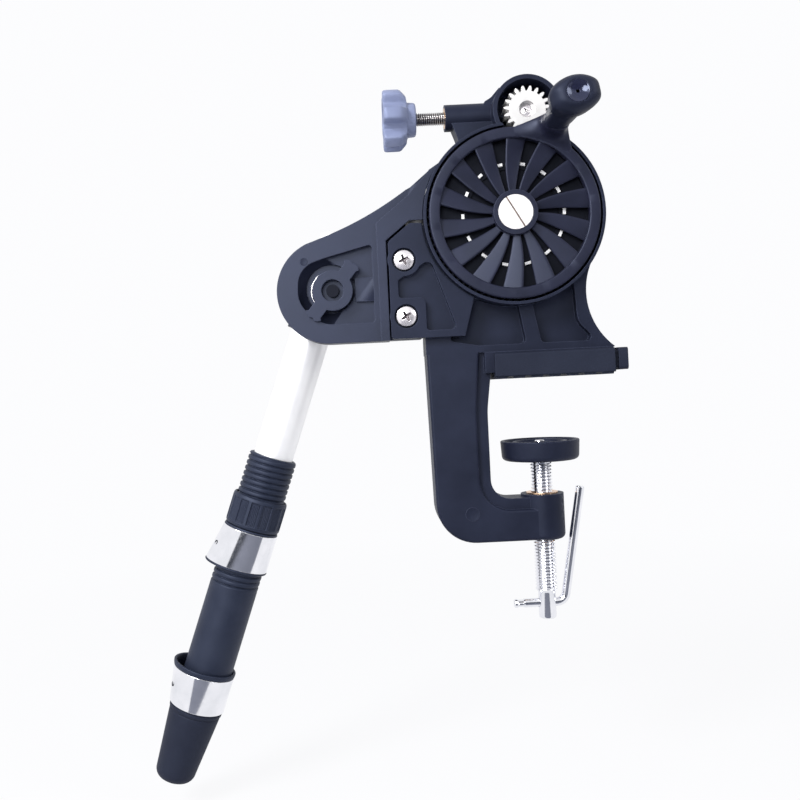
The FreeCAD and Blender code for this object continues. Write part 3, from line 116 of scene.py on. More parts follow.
def bumpNode(nodeSet, links, source, strength, distance, before=None):
    # relief of a height in metres, laid over a normal that comes before it
    bump = nodeSet.new("ShaderNodeBump")
    bump.inputs["Strength"].default_value = strength
    bump.inputs["Distance"].default_value = distance
    links.new(source, bump.inputs["Height"])
    if before is not None:
        links.new(before, bump.inputs["Normal"])
    return bump


def softEdge(nodeSet, radius):
    # shading normal that rounds sharp corners by a small radius
    edge = nodeSet.new("ShaderNodeBevel")
    edge.samples = 4
    edge.inputs["Radius"].default_value = radius
    return edge


def plasticMaterial(name, settings):
    # moulded plastic: mottled tone, fine spark-eroded grain and slightly worn, lighter edges
    material, nodeSet, links, shader = newMaterial(name)
    dark, light = settings["dark"], settings["light"]
    mottle = noiseNode(nodeSet, links, settings["mottleScale"], 4.0)
    tone = rampNode(nodeSet, links, mottle.outputs["Fac"], [(mottleStops[0], dark), (mottleStops[1], light)])
    grain = noiseNode(nodeSet, links, settings["grainScale"], 2.0)
    edge = softEdge(nodeSet, settings["edge"])
    shape = nodeSet.new("ShaderNodeNewGeometry")
    facing = nodeSet.new("ShaderNodeVectorMath")
    facing.operation = "DOT_PRODUCT"
    links.new(edge.outputs["Normal"], facing.inputs[0])
    links.new(shape.outputs["Normal"], facing.inputs[1])
    rub = nodeSet.new("ShaderNodeMapRange")
    rub.inputs["From Min"].default_value, rub.inputs["From Max"].default_value = rubFrom, rubTo
    rub.inputs["To Max"].default_value = settings["wear"]
    links.new(facing.outputs["Value"], rub.inputs["Value"])
    worn = nodeSet.new("ShaderNodeMix")
    worn.data_type = "RGBA"
    worn.inputs["B"].default_value = (*settings["worn"], 1.0)
    links.new(rub.outputs["Result"], worn.inputs["Factor"])
    links.new(tone.outputs["Color"], worn.inputs["A"])
    links.new(worn.outputs["Result"], shader.inputs["Base Color"])
    rough = rangeNode(nodeSet, links, mottle.outputs["Fac"], settings["rough"][0], settings["rough"][1])
    links.new(rough.outputs["Result"], shader.inputs["Roughness"])
    bump = bumpNode(nodeSet, links, grain.outputs["Fac"], settings["grain"], grainHeight,
                    edge.outputs["Normal"])
    links.new(bump.outputs["Normal"], shader.inputs["Normal"])
    shader.inputs["Specular IOR Level"].default_value = settings["gloss"]
    shader.inputs["Specular Tint"].default_value = (*blueTint, 1.0)
    return material


def metalMaterial(name, settings):
    # plated or machined metal: fine tool marks drawn out along one direction, faint smears
    material, nodeSet, links, shader = newMaterial(name)
    marks = noiseNode(nodeSet, links, settings["markScale"], 3.0, settings.get("stretch", (1.0, 1.0, 1.0)))
    smear = noiseNode(nodeSet, links, settings["smearScale"], 3.0)
    tone = rampNode(nodeSet, links, smear.outputs["Fac"],
                    [(smearStops[0], settings["dark"]), (smearStops[1], settings["light"])])
    links.new(tone.outputs["Color"], shader.inputs["Base Color"])
    rough = rangeNode(nodeSet, links, marks.outputs["Fac"], settings["rough"][0], settings["rough"][1])
    links.new(rough.outputs["Result"], shader.inputs["Roughness"])
    edge = softEdge(nodeSet, settings["edge"])
    bump = bumpNode(nodeSet, links, marks.outputs["Fac"], settings["marks"], markHeight,
                    edge.outputs["Normal"])
    links.new(bump.outputs["Normal"], shader.inputs["Normal"])
    shader.inputs["Metallic"].default_value = settings.get("metal", 1.0)
    return material


blackPlastic = plasticMaterial("blackPlastic", {
    "dark": (0.008, 0.010, 0.022), "light": (0.013, 0.016, 0.033), "worn": (0.085, 0.098, 0.16),
    "mottleScale": 60.0, "grainScale": 2600.0, "grain": 0.25, "edge": 0.0005, "wear": 0.5,
    "rough": (0.42, 0.55), "gloss": 0.22})
bracketPlastic = plasticMaterial("bracketPlastic", {
    "dark": (0.009, 0.011, 0.024), "light": (0.015, 0.018, 0.037), "worn": (0.085, 0.098, 0.16),
    "mottleScale": 60.0, "grainScale": 2600.0, "grain": 0.25, "edge": 0.0005, "wear": 0.5,
    "rough": (0.42, 0.52), "gloss": 0.36})
wheelPlastic = plasticMaterial("wheelPlastic", {
    "dark": (0.008, 0.009, 0.020), "light": (0.012, 0.013, 0.030), "worn": (0.10, 0.11, 0.17),
    "mottleScale": 80.0, "grainScale": 3000.0, "grain": 0.2, "edge": 0.0004, "wear": 0.7,
    "rough": (0.38, 0.48), "gloss": 0.32})
# painted shade: the drive gear is made darker than the other black parts so that the gaps behind the blades
# read dark; also used for the holder screw's face and the ring rivets
shadedBlackPlastic = plasticMaterial("shadedBlackPlastic", {
    "dark": (0.002, 0.002, 0.004), "light": (0.004, 0.004, 0.007), "worn": (0.006, 0.006, 0.010),
    "mottleScale": 80.0, "grainScale": 3000.0, "grain": 0.2, "edge": 0.0003, "wear": 0.1,
    "rough": (0.5, 0.6), "gloss": 0.15})
tubePlastic = plasticMaterial("tubePlastic", {
    "dark": (0.012, 0.016, 0.032), "light": (0.018, 0.023, 0.042), "worn": (0.045, 0.052, 0.085),
    "mottleScale": 90.0, "grainScale": 2200.0, "grain": 0.35, "edge": 0.0004, "wear": 0.3,
    "rough": (0.46, 0.56), "gloss": 0.32})
greyPlastic = plasticMaterial("greyPlastic", {
    "dark": (0.185, 0.215, 0.345), "light": (0.235, 0.268, 0.415), "worn": (0.34, 0.37, 0.50),
    "mottleScale": 70.0, "grainScale": 2400.0, "grain": 0.3, "edge": 0.0006, "wear": 0.4,
    "rough": (0.42, 0.55), "gloss": 0.5})
glossPlastic = plasticMaterial("glossPlastic", {
    "dark": (0.012, 0.014, 0.034), "light": (0.018, 0.020, 0.045), "worn": (0.06, 0.06, 0.1),
    "mottleScale": 40.0, "grainScale": 1500.0, "grain": 0.03, "edge": 0.0004, "wear": 0.2,
    "rough": (0.08, 0.14), "gloss": 0.6})
blackRubber = plasticMaterial("blackRubber", {
    "dark": (0.008, 0.010, 0.021), "light": (0.013, 0.016, 0.030), "worn": (0.03, 0.033, 0.05),
    "mottleScale": 50.0, "grainScale": 1800.0, "grain": 0.5, "edge": 0.0006, "wear": 0.3,
    "rough": (0.55, 0.68), "gloss": 0.25})
chromePlate = metalMaterial("chromePlate", {
    "dark": (0.78, 0.79, 0.83), "light": (0.90, 0.90, 0.94), "markScale": 900.0, "smearScale": 120.0,
    "rough": (0.07, 0.15), "marks": 0.02, "edge": 0.0002})
nickelPlate = metalMaterial("nickelPlate", {
    "dark": (0.86, 0.85, 0.84), "light": (0.97, 0.965, 0.96), "markScale": 1500.0, "smearScale": 200.0,
    "rough": (0.16, 0.30), "marks": 0.04, "edge": 0.0002, "metal": 0.6})
satinAluminium = metalMaterial("satinAluminium", {
    "dark": (0.90, 0.90, 0.92), "light": (0.97, 0.97, 0.98), "markScale": 700.0, "stretch": (3.0, 3.0, 0.08),
    "smearScale": 60.0, "rough": (0.34, 0.46), "marks": 0.08, "edge": 0.0002, "metal": 0.3})
axlePlate = metalMaterial("axlePlate", {
    "dark": (0.93, 0.90, 0.90), "light": (0.99, 0.97, 0.97), "markScale": 900.0, "smearScale": 150.0,
    "rough": (0.2, 0.32), "marks": 0.03, "edge": 0.0002, "metal": 0.2})
slotShade = metalMaterial("slotShade", {
    "dark": (0.10, 0.07, 0.06), "light": (0.20, 0.14, 0.11), "markScale": 900.0, "smearScale": 300.0,
    "rough": (0.5, 0.7), "marks": 0.05, "edge": 0.0001, "metal": 0.0})
headPlate = metalMaterial("headPlate", {
    "dark": (0.72, 0.69, 0.72), "light": (0.90, 0.87, 0.90), "markScale": 1200.0, "smearScale": 300.0,
    "rough": (0.2, 0.34), "marks": 0.05, "edge": 0.0002, "metal": 0.7})
# painted shade: a dark finish for the faces deep in the screws' crosses and in the brake screw's thread roots
recessShade = metalMaterial("recessShade", {
    "dark": (0.06, 0.055, 0.06), "light": (0.16, 0.14, 0.15), "markScale": 1200.0, "smearScale": 400.0,
    "rough": (0.3, 0.45), "marks": 0.05, "edge": 0.0001})
threadSteel = metalMaterial("threadSteel", {
    "dark": (0.42, 0.41, 0.41), "light": (0.62, 0.61, 0.61), "markScale": 1500.0, "smearScale": 200.0,
    "rough": (0.12, 0.22), "marks": 0.04, "edge": 0.0001})
turnedSteel = metalMaterial("turnedSteel", {
    "dark": (0.50, 0.50, 0.51), "light": (0.66, 0.66, 0.67), "markScale": 1800.0,
    "stretch": (1.0, 0.2, 1.0), "smearScale": 150.0, "rough": (0.25, 0.42), "marks": 0.1, "edge": 0.0002})
turnedBrass = metalMaterial("turnedBrass", {
    "dark": (0.66, 0.42, 0.25), "light": (0.84, 0.60, 0.42), "markScale": 1500.0,
    "stretch": (1.0, 1.0, 0.3), "smearScale": 200.0, "rough": (0.2, 0.36), "marks": 0.08, "edge": 0.0002})

nodeFinish = {
    "main_frame": blackPlastic, "reel_arm_bracket": bracketPlastic, "bracket_screws": nickelPlate,
    "bracket_nuts": turnedSteel, "jaw_pad": blackRubber, "clamp_nut_insert": turnedBrass,
    "brake_nut_insert": turnedBrass, "axle_bolt": axlePlate, "axle_nut": turnedSteel,
    "axle_washer": turnedSteel, "spindle_bushes": turnedBrass, "pivot_washer": nickelPlate,
    "crank_wheel": wheelPlastic, "drive_gear": shadedBlackPlastic, "knob_axle": turnedSteel,
    "knob_grip": blackPlastic, "knob_cap": glossPlastic, "pinion": nickelPlate, "pinion_screw": nickelPlate,
    "spindle_shaft": turnedSteel, "inner_cone": blackPlastic, "outer_cone": blackPlastic,
    "spool_nut": greyPlastic, "brake_shoe": blackRubber, "brake_screw": threadSteel,
    "brake_knob": greyPlastic, "pressure_pad": blackPlastic, "clamp_screw": chromePlate,
    "pad_washer": turnedSteel, "tommy_bar": chromePlate, "pivot_key": bracketPlastic,
    "holder_screw": shadedBlackPlastic, "pipe_holder": blackPlastic, "arm_pipe": satinAluminium,
    "pipe_cap": nickelPlate, "seat_tube": tubePlastic, "lower_hood": tubePlastic,
    "lower_hood_ring": chromePlate, "butt_cap": blackRubber, "upper_hood": tubePlastic,
    "upper_hood_ring": chromePlate, "hood_nut": tubePlastic}
for name, finish in nodeFinish.items():
    mesh = nodes[name].data
    mesh.materials.clear()
    mesh.materials.append(finish)
print("materials on", len(nodeFinish), "nodes")


# shapes as arrays
def fullTurn(count):
    # equal steps of angle once round
    return np.linspace(0, 2 * math.pi, count, endpoint=False)


def placed(points, place):
    # own coordinates in mm to the frame's metres: the rows of axes are the piece's own X, Y and Z
    origin, axes = place
    return (np.asarray(points, float) @ np.asarray(axes, float) + np.asarray(origin, float)) * mm


def gridFaces(rows, columns, loop):
    # quads between neighbouring rows; the columns run round, and so do the rows of a loop
    low = np.arange(rows if loop else rows - 1)[:, None]
    across = np.arange(columns)[None, :]
    following = (across + 1) % columns
    high = (low + 1) % rows
    return np.stack([low * columns + across, low * columns + following, high * columns + following,
                     high * columns + across], -1).reshape(-1, 4)


def closedGrid(points, loop=False):
    # a grid of rows round an axis as one closed shell: a loop of rows, or rows shut by a fan at each end
    rows, columns = points.shape[:2]
    flat = points.reshape(-1, 3)
    quads = gridFaces(rows, columns, loop)
    if loop:
        return flat, quads, np.empty((0, 3), int)
    ends = np.stack([points[0].mean(0), points[-1].mean(0)])
    across = np.arange(columns)
    following = (across + 1) % columns
    first = np.stack([np.full(columns, rows * columns), following, across], -1)
    last = np.stack([np.full(columns, rows * columns + 1), (rows - 1) * columns + across,
                     (rows - 1) * columns + following], -1)
    return np.concatenate([flat, ends]), quads, np.concatenate([first, last])


def facingOut(points, quads, fans):
    # six times the enclosed volume is the sum of a.(b x c) over triangles; negative means inside out
    triangles = np.concatenate([quads[:, [0, 1, 2]], quads[:, [0, 2, 3]], fans])
    a, b, c = (points[triangles[:, corner]] for corner in range(3))
    if np.einsum("ij,ij->i", a, np.cross(b, c)).sum() < 0:
        return quads[:, ::-1], fans[:, ::-1]
    return quads, fans


def shellMesh(name, *shells):
    # the shells' points and faces one after another in one mesh, each shell facing outward
    points, faces, count = [], [], 0
    for shell, quads, fans in shells:
        quads, fans = facingOut(shell, quads, fans)
        points.append(shell)
        faces += (quads + count).tolist() + (fans + count).tolist()
        count += len(shell)
    mesh = bpy.data.meshes.new(name)
    mesh.from_pydata(np.concatenate(points).tolist(), [], faces)
    return mesh


def finishPiece(name, mesh, finish, body, replaced=(), sharp=32.0):
    # smooth shading, broken where two faces meet at more than the sharp angle
    mesh.name = name
    mesh.shade_smooth()
    mesh.set_sharp_from_angle(angle=math.radians(sharp))
    mesh.materials.clear()
    mesh.materials.append(finish)
    piece = bpy.data.objects.new(name, mesh)
    bpy.context.collection.objects.link(piece)
    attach(piece, body)
    if replaced:
        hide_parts(*replaced)


def makePiece(name, shells, finish, body, replaced=(), sharp=32.0, shadedFaces=None, shadeFinish=None):
    # the face mask says for each face whether it gets the second, darker finish, which is painted shade in
    # the screws' crosses and thread roots
    mesh = shellMesh(name, *shells)
    finishPiece(name, mesh, finish, body, replaced, sharp)
    if shadedFaces is not None:
        mesh.materials.append(shadeFinish)
        mesh.polygons.foreach_set("material_index", shadedFaces.astype(np.int32))


def spun(profile, place, columns=96, loop=False, reach=None):
    # each profile row (radius, level) is a circle about own Z; reach changes the radii by row and angle
    rows = np.asarray(profile, float)
    angle = fullTurn(columns)[None, :]
    radius = np.repeat(rows[:, :1], columns, 1)
    if reach is not None:
        radius = reach(rows[:, :1], rows[:, 1:2], angle)
    level = np.repeat(rows[:, 1:2], columns, 1)
    points = np.stack([radius * np.cos(angle), radius * np.sin(angle), level], -1)
    return closedGrid(placed(points, place), loop)


def smoothStep(value):
    # 3 t^2 - 2 t^3 between 0 and 1
    share = np.clip(value, 0.0, 1.0)
    return share * share * (3 - 2 * share)


def screwRidge(level, angle, pitch, flat):
    # height share of a screw thread: the phase is level / pitch - angle / full turn, and each ridge is a bead
    phase = (level / pitch - angle / (2 * math.pi)) % 1.0
    return np.clip((1 - np.abs(2 * phase - 1)) / (1 - flat), 0.0, 1.0)


def fadeIn(level, start, finish, run):
    # 1 between start and finish, eased to 0 at both over the run
    return smoothStep((level - start) / run) * smoothStep((finish - level) / run)


def steps(start, finish, size):
    # levels from start to finish, about one size apart
    return np.linspace(start, finish, max(2, int(round(abs(finish - start) / size)) + 1))


# places of the moving groups, in mm and degrees
places = {"wheelX": -9.3, "wheelZ": 73.6, "gearSpan": 47.5, "gearTurn": 80.0, "knobReach": 42.0,
          "knobTurn": 63.7, "pivotX": -92.2, "pivotZ": 43.3, "lean": 19.75, "offset": 5.8, "pipeY": 16.0,
          "brakeY": -2.5, "brakeRise": 0.7}


def awayFromWheel(reach, turn):
    # the place at a distance and an angle from the wheel's axis
    turn = math.radians(turn)
    return places["wheelX"] + reach * math.cos(turn), places["wheelZ"] + reach * math.sin(turn)


pinionX, pinionZ = awayFromWheel(places["gearSpan"], places["gearTurn"])
knobX, knobZ = awayFromWheel(places["knobReach"], places["knobTurn"])
cosLean, sinLean = math.cos(math.radians(places["lean"])), math.sin(math.radians(places["lean"]))
pipeX, pipeZ = places["pivotX"] - places["offset"] * cosLean, places["pivotZ"] + places["offset"] * sinLean
armPlace = ((pipeX, places["pipeY"], pipeZ), ((-cosLean, 0, sinLean), (0, 1, 0), (-sinLean, 0, -cosLean)))
brakePlace = ((0.0, places["brakeY"], pinionZ + places["brakeRise"]), ((0, 0, -1), (0, 1, 0), (1, 0, 0)))
uprightPlace = ((0, 0, 0), ((1, 0, 0), (0, 1, 0), (0, 0, 1)))


def crankSide(x, z, depth):
    # own Z points at the crank side and starts at a depth in front of the middle plane
    return ((x, -depth, z), ((1, 0, 0), (0, 0, 1), (0, -1, 0)))


def turnedSide(x, z, y, turn):
    # the same, turned about its own Z by an angle in degrees
    cosine, sine = math.cos(math.radians(turn)), math.sin(math.radians(turn))
    return ((x, y, z), ((cosine, 0, sine), (-sine, 0, cosine), (0, -1, 0)))


def aboutAxis(along, across, turn):
    # a point at along and across, turned about the axis by an angle in radians
    cosine, sine = math.cos(turn), math.sin(turn)
    return along * cosine - across * sine, along * sine + across * cosine


wheelPlace = crankSide(places["wheelX"], places["wheelZ"], 0.0)


# reel seat: threaded tube
seatSet = {"start": 82.0, "low": 199.6, "end": 212.0, "radius": 11.6, "bore": 9.53, "spigot": 9.6,
           "groove": 0.85, "pitch": 2.7, "threadEnd": 147.4}


def seatReach(radius, level, angle):
    # the thread's beads stand on a core; between the beads the outside drops by the groove's depth
    ridge = np.sqrt(np.clip(screwRidge(level, angle, seatSet["pitch"], 0.0), 0, 1))
    inside = fadeIn(level, seatSet["start"] - 0.2, seatSet["threadEnd"], 1.6)
    on = (radius > seatSet["radius"] - 0.1) * inside
    return radius - on * seatSet["groove"] * (1 - smoothStep(ridge * 1.6 - 0.3))


def seatTube(s):
    # a turned tube whose outside has ten rows to each turn of the thread
    outside = [(s["radius"], level) for level in steps(s["start"] + 1.0, s["threadEnd"], s["pitch"] / 10)]
    profile = [(s["bore"], s["start"] + 0.3), (s["bore"] + 0.3, s["start"]),
               (s["radius"] - 1.2, s["start"]), (s["radius"] - 0.5, s["start"] + 0.3)] + outside
    profile += [(s["radius"], s["threadEnd"] + 2), (s["radius"], s["low"]), (s["spigot"], s["low"]),
                (s["spigot"], s["end"]), (s["bore"], s["end"])]
    shell = spun(profile, armPlace, 120, True, seatReach)
    makePiece("seatTube", [shell], tubePlastic, "reel_arm", ("seat_tube",))


seatTube(seatSet)

# ring nut of the sliding hood
nutSet = {"start": 102.4, "end": 117.3, "radius": 13.2, "bore": 11.9, "panels": 14, "bar": 0.22,
          "sink": 0.55, "ribs": 6, "ribHeight": 0.22, "collar": 1.7}


def nutReach(radius, level, angle):
    # panels lie lower than the bars between them, and carry fine ribs: the share within a panel gives both
    s = nutSet
    share = (angle * s["panels"] / (2 * math.pi)) % 1.0
    within = smoothStep((share - s["bar"] / 2) / 0.05) * smoothStep((1 - s["bar"] / 2 - share) / 0.05)
    ribbed = 0.5 + 0.5 * np.cos(2 * math.pi * s["ribs"] * (share - s["bar"] / 2) / (1 - s["bar"]))
    tall = fadeIn(level, s["start"] + s["collar"], s["end"] - s["collar"], 0.5)
    on = (radius > s["bore"] + 0.5) * tall * within
    return radius - on * (s["sink"] - s["ribHeight"] * ribbed)


def hoodNut(s):
    # a turned ring with a collar at each end; 56 columns to a panel carry the ribs
    a, b, r = s["start"], s["end"], s["radius"]
    profile = [(s["bore"], a + 0.3), (s["bore"] + 0.3, a), (r - 0.9, a), (r - 0.45, a + 0.15),
               (r - 0.1, a + 0.9), (r, a + s["collar"] - 0.1), (r, a + s["collar"] + 0.05),
               (r, a + s["collar"] + 0.5)]
    profile += [(r, level) for level in steps(a + s["collar"] + 1.0, b - s["collar"] - 1.0, 3.0)]
    profile += [(r, b - s["collar"] - 0.5), (r, b - s["collar"] - 0.05), (r, b - s["collar"] + 0.1),
                (r - 0.1, b - 0.8), (r - 0.45, b - 0.15), (r - 0.9, b), (s["bore"] + 0.3, b),
                (s["bore"], b - 0.3)]
    shell = spun(profile, armPlace, s["panels"] * 56, True, nutReach)
    makePiece("hoodNut", [shell], tubePlastic, "ring_nut", ("hood_nut",))


hoodNut(nutSet)

# hoods with their polished rings, and the butt cap: oval sections down the pipe
hoodSet = {"near": 13.1, "upperStart": 117.5, "upperEnd": 137.8, "flare": 17.2, "lowStart": 187.8,
           "lowEnd": 207.6, "lowFlare": 17.2, "ringWall": 0.55, "wall": 0.65, "core": 9.62,
           "tubeEnd": 212.0, "buttEnd": 244.2}


def station(first, last, level, inset):
    # the straight run between two stations at a level, drawn in by an inset
    share = (level - first[0]) / (last[0] - first[0])
    near, far, deep = (a + share * (b - a) - inset for a, b in zip(first[1:], last[1:]))
    return level, near, far, deep


def ovalShell(rows, loop, columns=128):
    # each row (level, near, far, deep) is an ellipse whose reel side reaches farther than the other
    level, near, far, deep = (np.array([row[part] for row in rows])[:, None] for part in range(4))
    angle = fullTurn(columns)[None, :]
    x = (far - near) / 2 + (far + near) / 2 * np.cos(angle)
    y = deep * np.sin(angle)
    points = np.stack([x, y, np.repeat(level, columns, 1)], -1)
    return closedGrid(placed(points, armPlace), loop)


def upperRun(s):
    # the sliding hood's two end stations (level, near, far, deep)
    near = s["near"]
    return (s["upperStart"], near, near, near), (s["upperEnd"], near, s["flare"], near + 0.4)


def lowerRun(s):
    # the fixed hood's two end stations
    near = s["near"]
    return (s["lowStart"], near, s["lowFlare"], near + 0.5), (s["lowEnd"], near, near + 0.6, near)


def hoodRing(s, name, run, top, bottom, body, nodeName):
    # a thin band along the hood's run, with its two rims eased
    deep = s["ringWall"] - 0.1
    loop = [(top, 0.12), (top + 0.14, 0.0), (bottom - 0.14, 0.0), (bottom, 0.12), (bottom, deep), (top, deep)]
    makePiece(name, [ovalShell([station(*run, *row) for row in loop], True)], chromePlate, body,
              (nodeName,))


def upperHood(s):
    # the band lies in a step of the hood, and a bead stands at the hood's wide mouth
    run = upperRun(s)
    start, top, bottom = s["upperStart"], s["upperStart"] + 1.2, s["upperEnd"] - 1.0
    black = s["ringWall"] + 0.05
    inner = black + s["wall"]
    hoodRing(s, "upperHoodRing", run, top, bottom, "sliding_hood", "upper_hood_ring")
    loop = [(start, inner), (start, 0.9), (start + 0.2, 0.35), (top - 0.12, 0.1), (top - 0.05, 0.3),
            (top - 0.02, black), (bottom + 0.02, black), (bottom + 0.04, 0.2), (bottom + 0.3, -0.1),
            (bottom + 0.7, -0.1), (bottom + 1.0, 0.15), (bottom + 1.0, inner - 0.25),
            (bottom + 0.75, inner)]
    shell = ovalShell([station(*run, *row) for row in loop], True)
    makePiece("upperHood", [shell], tubePlastic, "sliding_hood", ("upper_hood",))


def lowerHood(s):
    # as the sliding hood, with its mouth at the top and a floor that closes on the tube
    run = lowerRun(s)
    start, end, core = s["lowStart"], s["lowEnd"], s["core"]
    top, bottom, floor = start + 2.4, end - 0.6, end - 8.0
    black = s["ringWall"] + 0.05
    inner = black + s["wall"]
    hoodRing(s, "lowerHoodRing", run, top, bottom, "reel_arm", "lower_hood_ring")
    rows = [station(*run, *row) for row in [
        (floor, inner), (top, inner), (start + 0.5, inner), (start + 0.1, inner - 0.25),
        (start, inner - 0.7), (start, 0.15), (start + 0.3, -0.1), (start + 1.1, -0.12),
        (start + 1.7, -0.05), (top - 0.1, 0.15), (top - 0.04, black), (bottom + 0.04, black), (end, black)]]
    rows += [(end, core, core, core), (floor, core, core, core)]
    makePiece("lowerHood", [ovalShell(rows, True)], tubePlastic, "reel_arm", ("lower_hood",))


def buttCap(s):
    # a groove below the rim, straight sides, and an end rounded through a quarter turn
    near, core, start, end = s["near"], s["core"], s["lowEnd"] + 0.1, s["buttEnd"]
    bow, draw, bore = 4.6, 4.4, s["tubeEnd"] + 0.1
    head = (start, near - 0.5, near + 0.1, near - 0.5)
    foot = (end - 3.5, 9.0, 10.5, 9.7)
    rows = [(bore, 0.5, 0.5, 0.5), (bore, core, core, core), (start + 0.3, core, core, core),
            (start, core + 0.3, core + 0.3, core + 0.3)]
    rows += [station(head, foot, start + down, inset) for down, inset in [
        (0.0, 0.5), (0.15, 0.12), (0.5, 0.0), (1.7, 0.0), (1.9, 0.12), (2.1, 0.55), (2.35, 0.6),
        (2.6, 0.35), (3.2, 0.25)]]
    rows += [station(head, foot, level, 0.22) for level in steps(start + 6, end - 5.5, 4.0)]
    last = station(head, foot, end - bow, 0.2)
    rows += [(end - bow + bow * math.sin(t), *(side - draw * (1 - math.cos(t)) for side in last[1:]))
             for t in np.linspace(0, math.pi / 2, 9)[1:]]
    rows += [(end, 2.0, 2.4, 2.2)]
    makePiece("buttCap", [ovalShell(rows, False)], blackRubber, "reel_arm", ("butt_cap",))


upperHood(hoodSet)
lowerHood(hoodSet)
buttCap(hoodSet)

# small dished rivets that hold the rings, on the reel side a little towards the crank
rivetSet = {"radius": 1.25, "turn": -28.0, "levels": {"sliding_hood": 128.5, "reel_arm": 198.5}}


def ringRivets(s):
    # each rivet's own Z is the normal of the oval at its angle
    turn = math.radians(s["turn"])
    for name, run, body in (("upperRivet", upperRun(hoodSet), "sliding_hood"),
                            ("lowerRivet", lowerRun(hoodSet), "reel_arm")):
        level, near, far, deep = station(*run, s["levels"][body], 0.0)
        spot = np.array([(far - near) / 2 + (far + near) / 2 * math.cos(turn), deep * math.sin(turn), level])
        outward = np.array([math.cos(turn) * deep, math.sin(turn) * (far + near) / 2, 0.0])
        outward /= np.linalg.norm(outward)
        along = np.array([0.0, 0.0, 1.0])
        axes = np.stack([np.cross(along, outward), along, outward]) @ np.asarray(armPlace[1], float)
        r = s["radius"]
        profile = [(r * 0.3, -0.25), (r * 0.62, -0.2), (r * 0.72, 0.08), (r * 0.9, 0.14), (r, 0.02),
                   (r, -0.3)]
        makePiece(name, [spun(profile, (placed(spot, armPlace) / mm, axes), 32)], shadedBlackPlastic, body)


ringRivets(rivetSet)
print("reel seat ready")

# brake screw and its lobed knob
brakeSet = {"left": -65.6, "right": -50.6, "valley": 9.6, "crest": 13.8, "hub": 7.3, "lobes": 6,
            "wave": (0.62, 0.75), "blend": 1.0, "radius": 3.0, "root": 2.45, "pitch": 1.0, "flat": 0.12,
            "threadFrom": -52.0, "threadTo": -26.0, "spindle": 7.8, "play": 0.3, "shoe": 4.0, "gap": 0.06}
# the screw ends where the shoe begins, in front of the spindle's collar
brakeSet["tip"] = pinionX - brakeSet["spindle"] - brakeSet["play"] - brakeSet["shoe"] - brakeSet["gap"]


def knobReach(radius, level, angle):
    # lobes: the wave cos(lobes x angle) is flattened on top; rows whose radius exceeds the hub's follow it
    s = brakeSet
    base = s["hub"] + s["blend"]
    wave = smoothStep(s["wave"][0] + s["wave"][1] * np.cos(s["lobes"] * (angle - math.pi / s["lobes"])))
    share = np.clip((radius - base) / (s["crest"] - base), 0.0, 1.0)
    valley = np.minimum(radius, base + share * (s["valley"] - base))
    return valley + (radius - valley) * wave


def brakeKnob(s):
    # a turned body with a dished end, lobed where its radius exceeds the hub's, and a plain neck
    a, b, r, hub = s["left"], s["right"], s["crest"], s["hub"]
    profile = [(3.02, a + 3.9), (7.6, a + 3.9), (8.2, a + 3.3), (8.3, a + 0.5), (8.6, a + 0.1), (9.2, a),
               (r - 1.2, a), (r - 0.5, a + 0.2), (r - 0.1, a + 0.8), (r, a + 2.0), (r, a + 5.0),
               (r - 0.05, a + 7.2), (r - 0.5, a + 8.2), (r - 2.6, a + 10.2), (r - 3.4, a + 10.7),
               (hub + 1.1, a + 11.0), (hub + 0.5, a + 11.4), (hub + 0.3, b - 0.9), (hub, b - 0.3),
               (hub - 0.6, b), (3.4, b), (3.02, b - 0.4)]
    shell = spun(profile, brakePlace, 240, True, knobReach)
    makePiece("brakeKnob", [shell], greyPlastic, "brake", ("brake_knob",), 40.0)


def screwReach(radius, level, angle):
    # thread between its core and its crest, faded out at both ends
    s = brakeSet
    inside = fadeIn(level, s["threadFrom"], s["threadTo"], 0.5) * (radius > s["radius"] - 0.05)
    ridge = screwRidge(level, angle, s["pitch"], s["flat"])
    return radius - inside * (s["radius"] - s["root"]) * (1 - ridge)


def brakeScrew(s):
    # eight rows to each turn of the thread; the faces of its root are painted darker as shade
    r, columns = s["radius"], 48
    profile = [(r - 0.6, s["left"] + 4.0), (r - 0.1, s["left"] + 4.3)]
    profile += [(r, level) for level in steps(s["threadFrom"] - 0.5, s["threadTo"] + 0.5, s["pitch"] / 8)]
    profile += [(r, s["tip"] - 0.4), (r - 0.5, s["tip"])]
    shell = spun(profile, brakePlace, columns, False, screwReach)
    level = np.array([row[1] for row in profile])[:, None]
    ridge = screwRidge(level, fullTurn(columns)[None, :], s["pitch"], s["flat"])
    root = fadeIn(level, s["threadFrom"], s["threadTo"], 0.5) * (ridge < 0.4) > 0.5
    shadedFaces = np.zeros(len(shell[1]) + len(shell[2]), bool)
    shadedFaces[:root[:-1].size] = root[:-1].ravel()
    makePiece("brakeScrew", [shell], threadSteel, "brake", ("brake_screw",), shadedFaces=shadedFaces,
              shadeFinish=recessShade)


brakeKnob(brakeSet)
brakeScrew(brakeSet)
print("brake ready")

# clamp: screw, pad and bar
clampSet = {"radius": 5.0, "root": 4.15, "core": 4.0, "end": -111.3, "plain": -99.0, "padTop": -28.9,
            "padThick": 9.2, "padRadius": 18.1, "pitch": 1.5, "flat": 0.15, "bar": 2.05, "barZ": -104.3,
            "stud": 2.5, "studRoot": 3.3, "studTall": 3.6}


def clampReach(radius, level, angle):
    # thread on the long part; the stud above the pad is drawn as a square with rounded corners
    s = clampSet
    top = s["padTop"] - s["padThick"] - 0.4
    inside = fadeIn(level, s["plain"] + 1.0, top, 0.8) * (radius > s["radius"] - 0.05)
    ridge = screwRidge(level, angle, s["pitch"], s["flat"])
    thread = radius - inside * (s["radius"] - s["root"]) * (1 - ridge)
    square = radius * 0.84 / np.maximum(np.abs(np.cos(angle)), np.abs(np.sin(angle))) ** 0.8
    return np.where(level > s["padTop"] - 2.9, np.minimum(square, radius), thread)


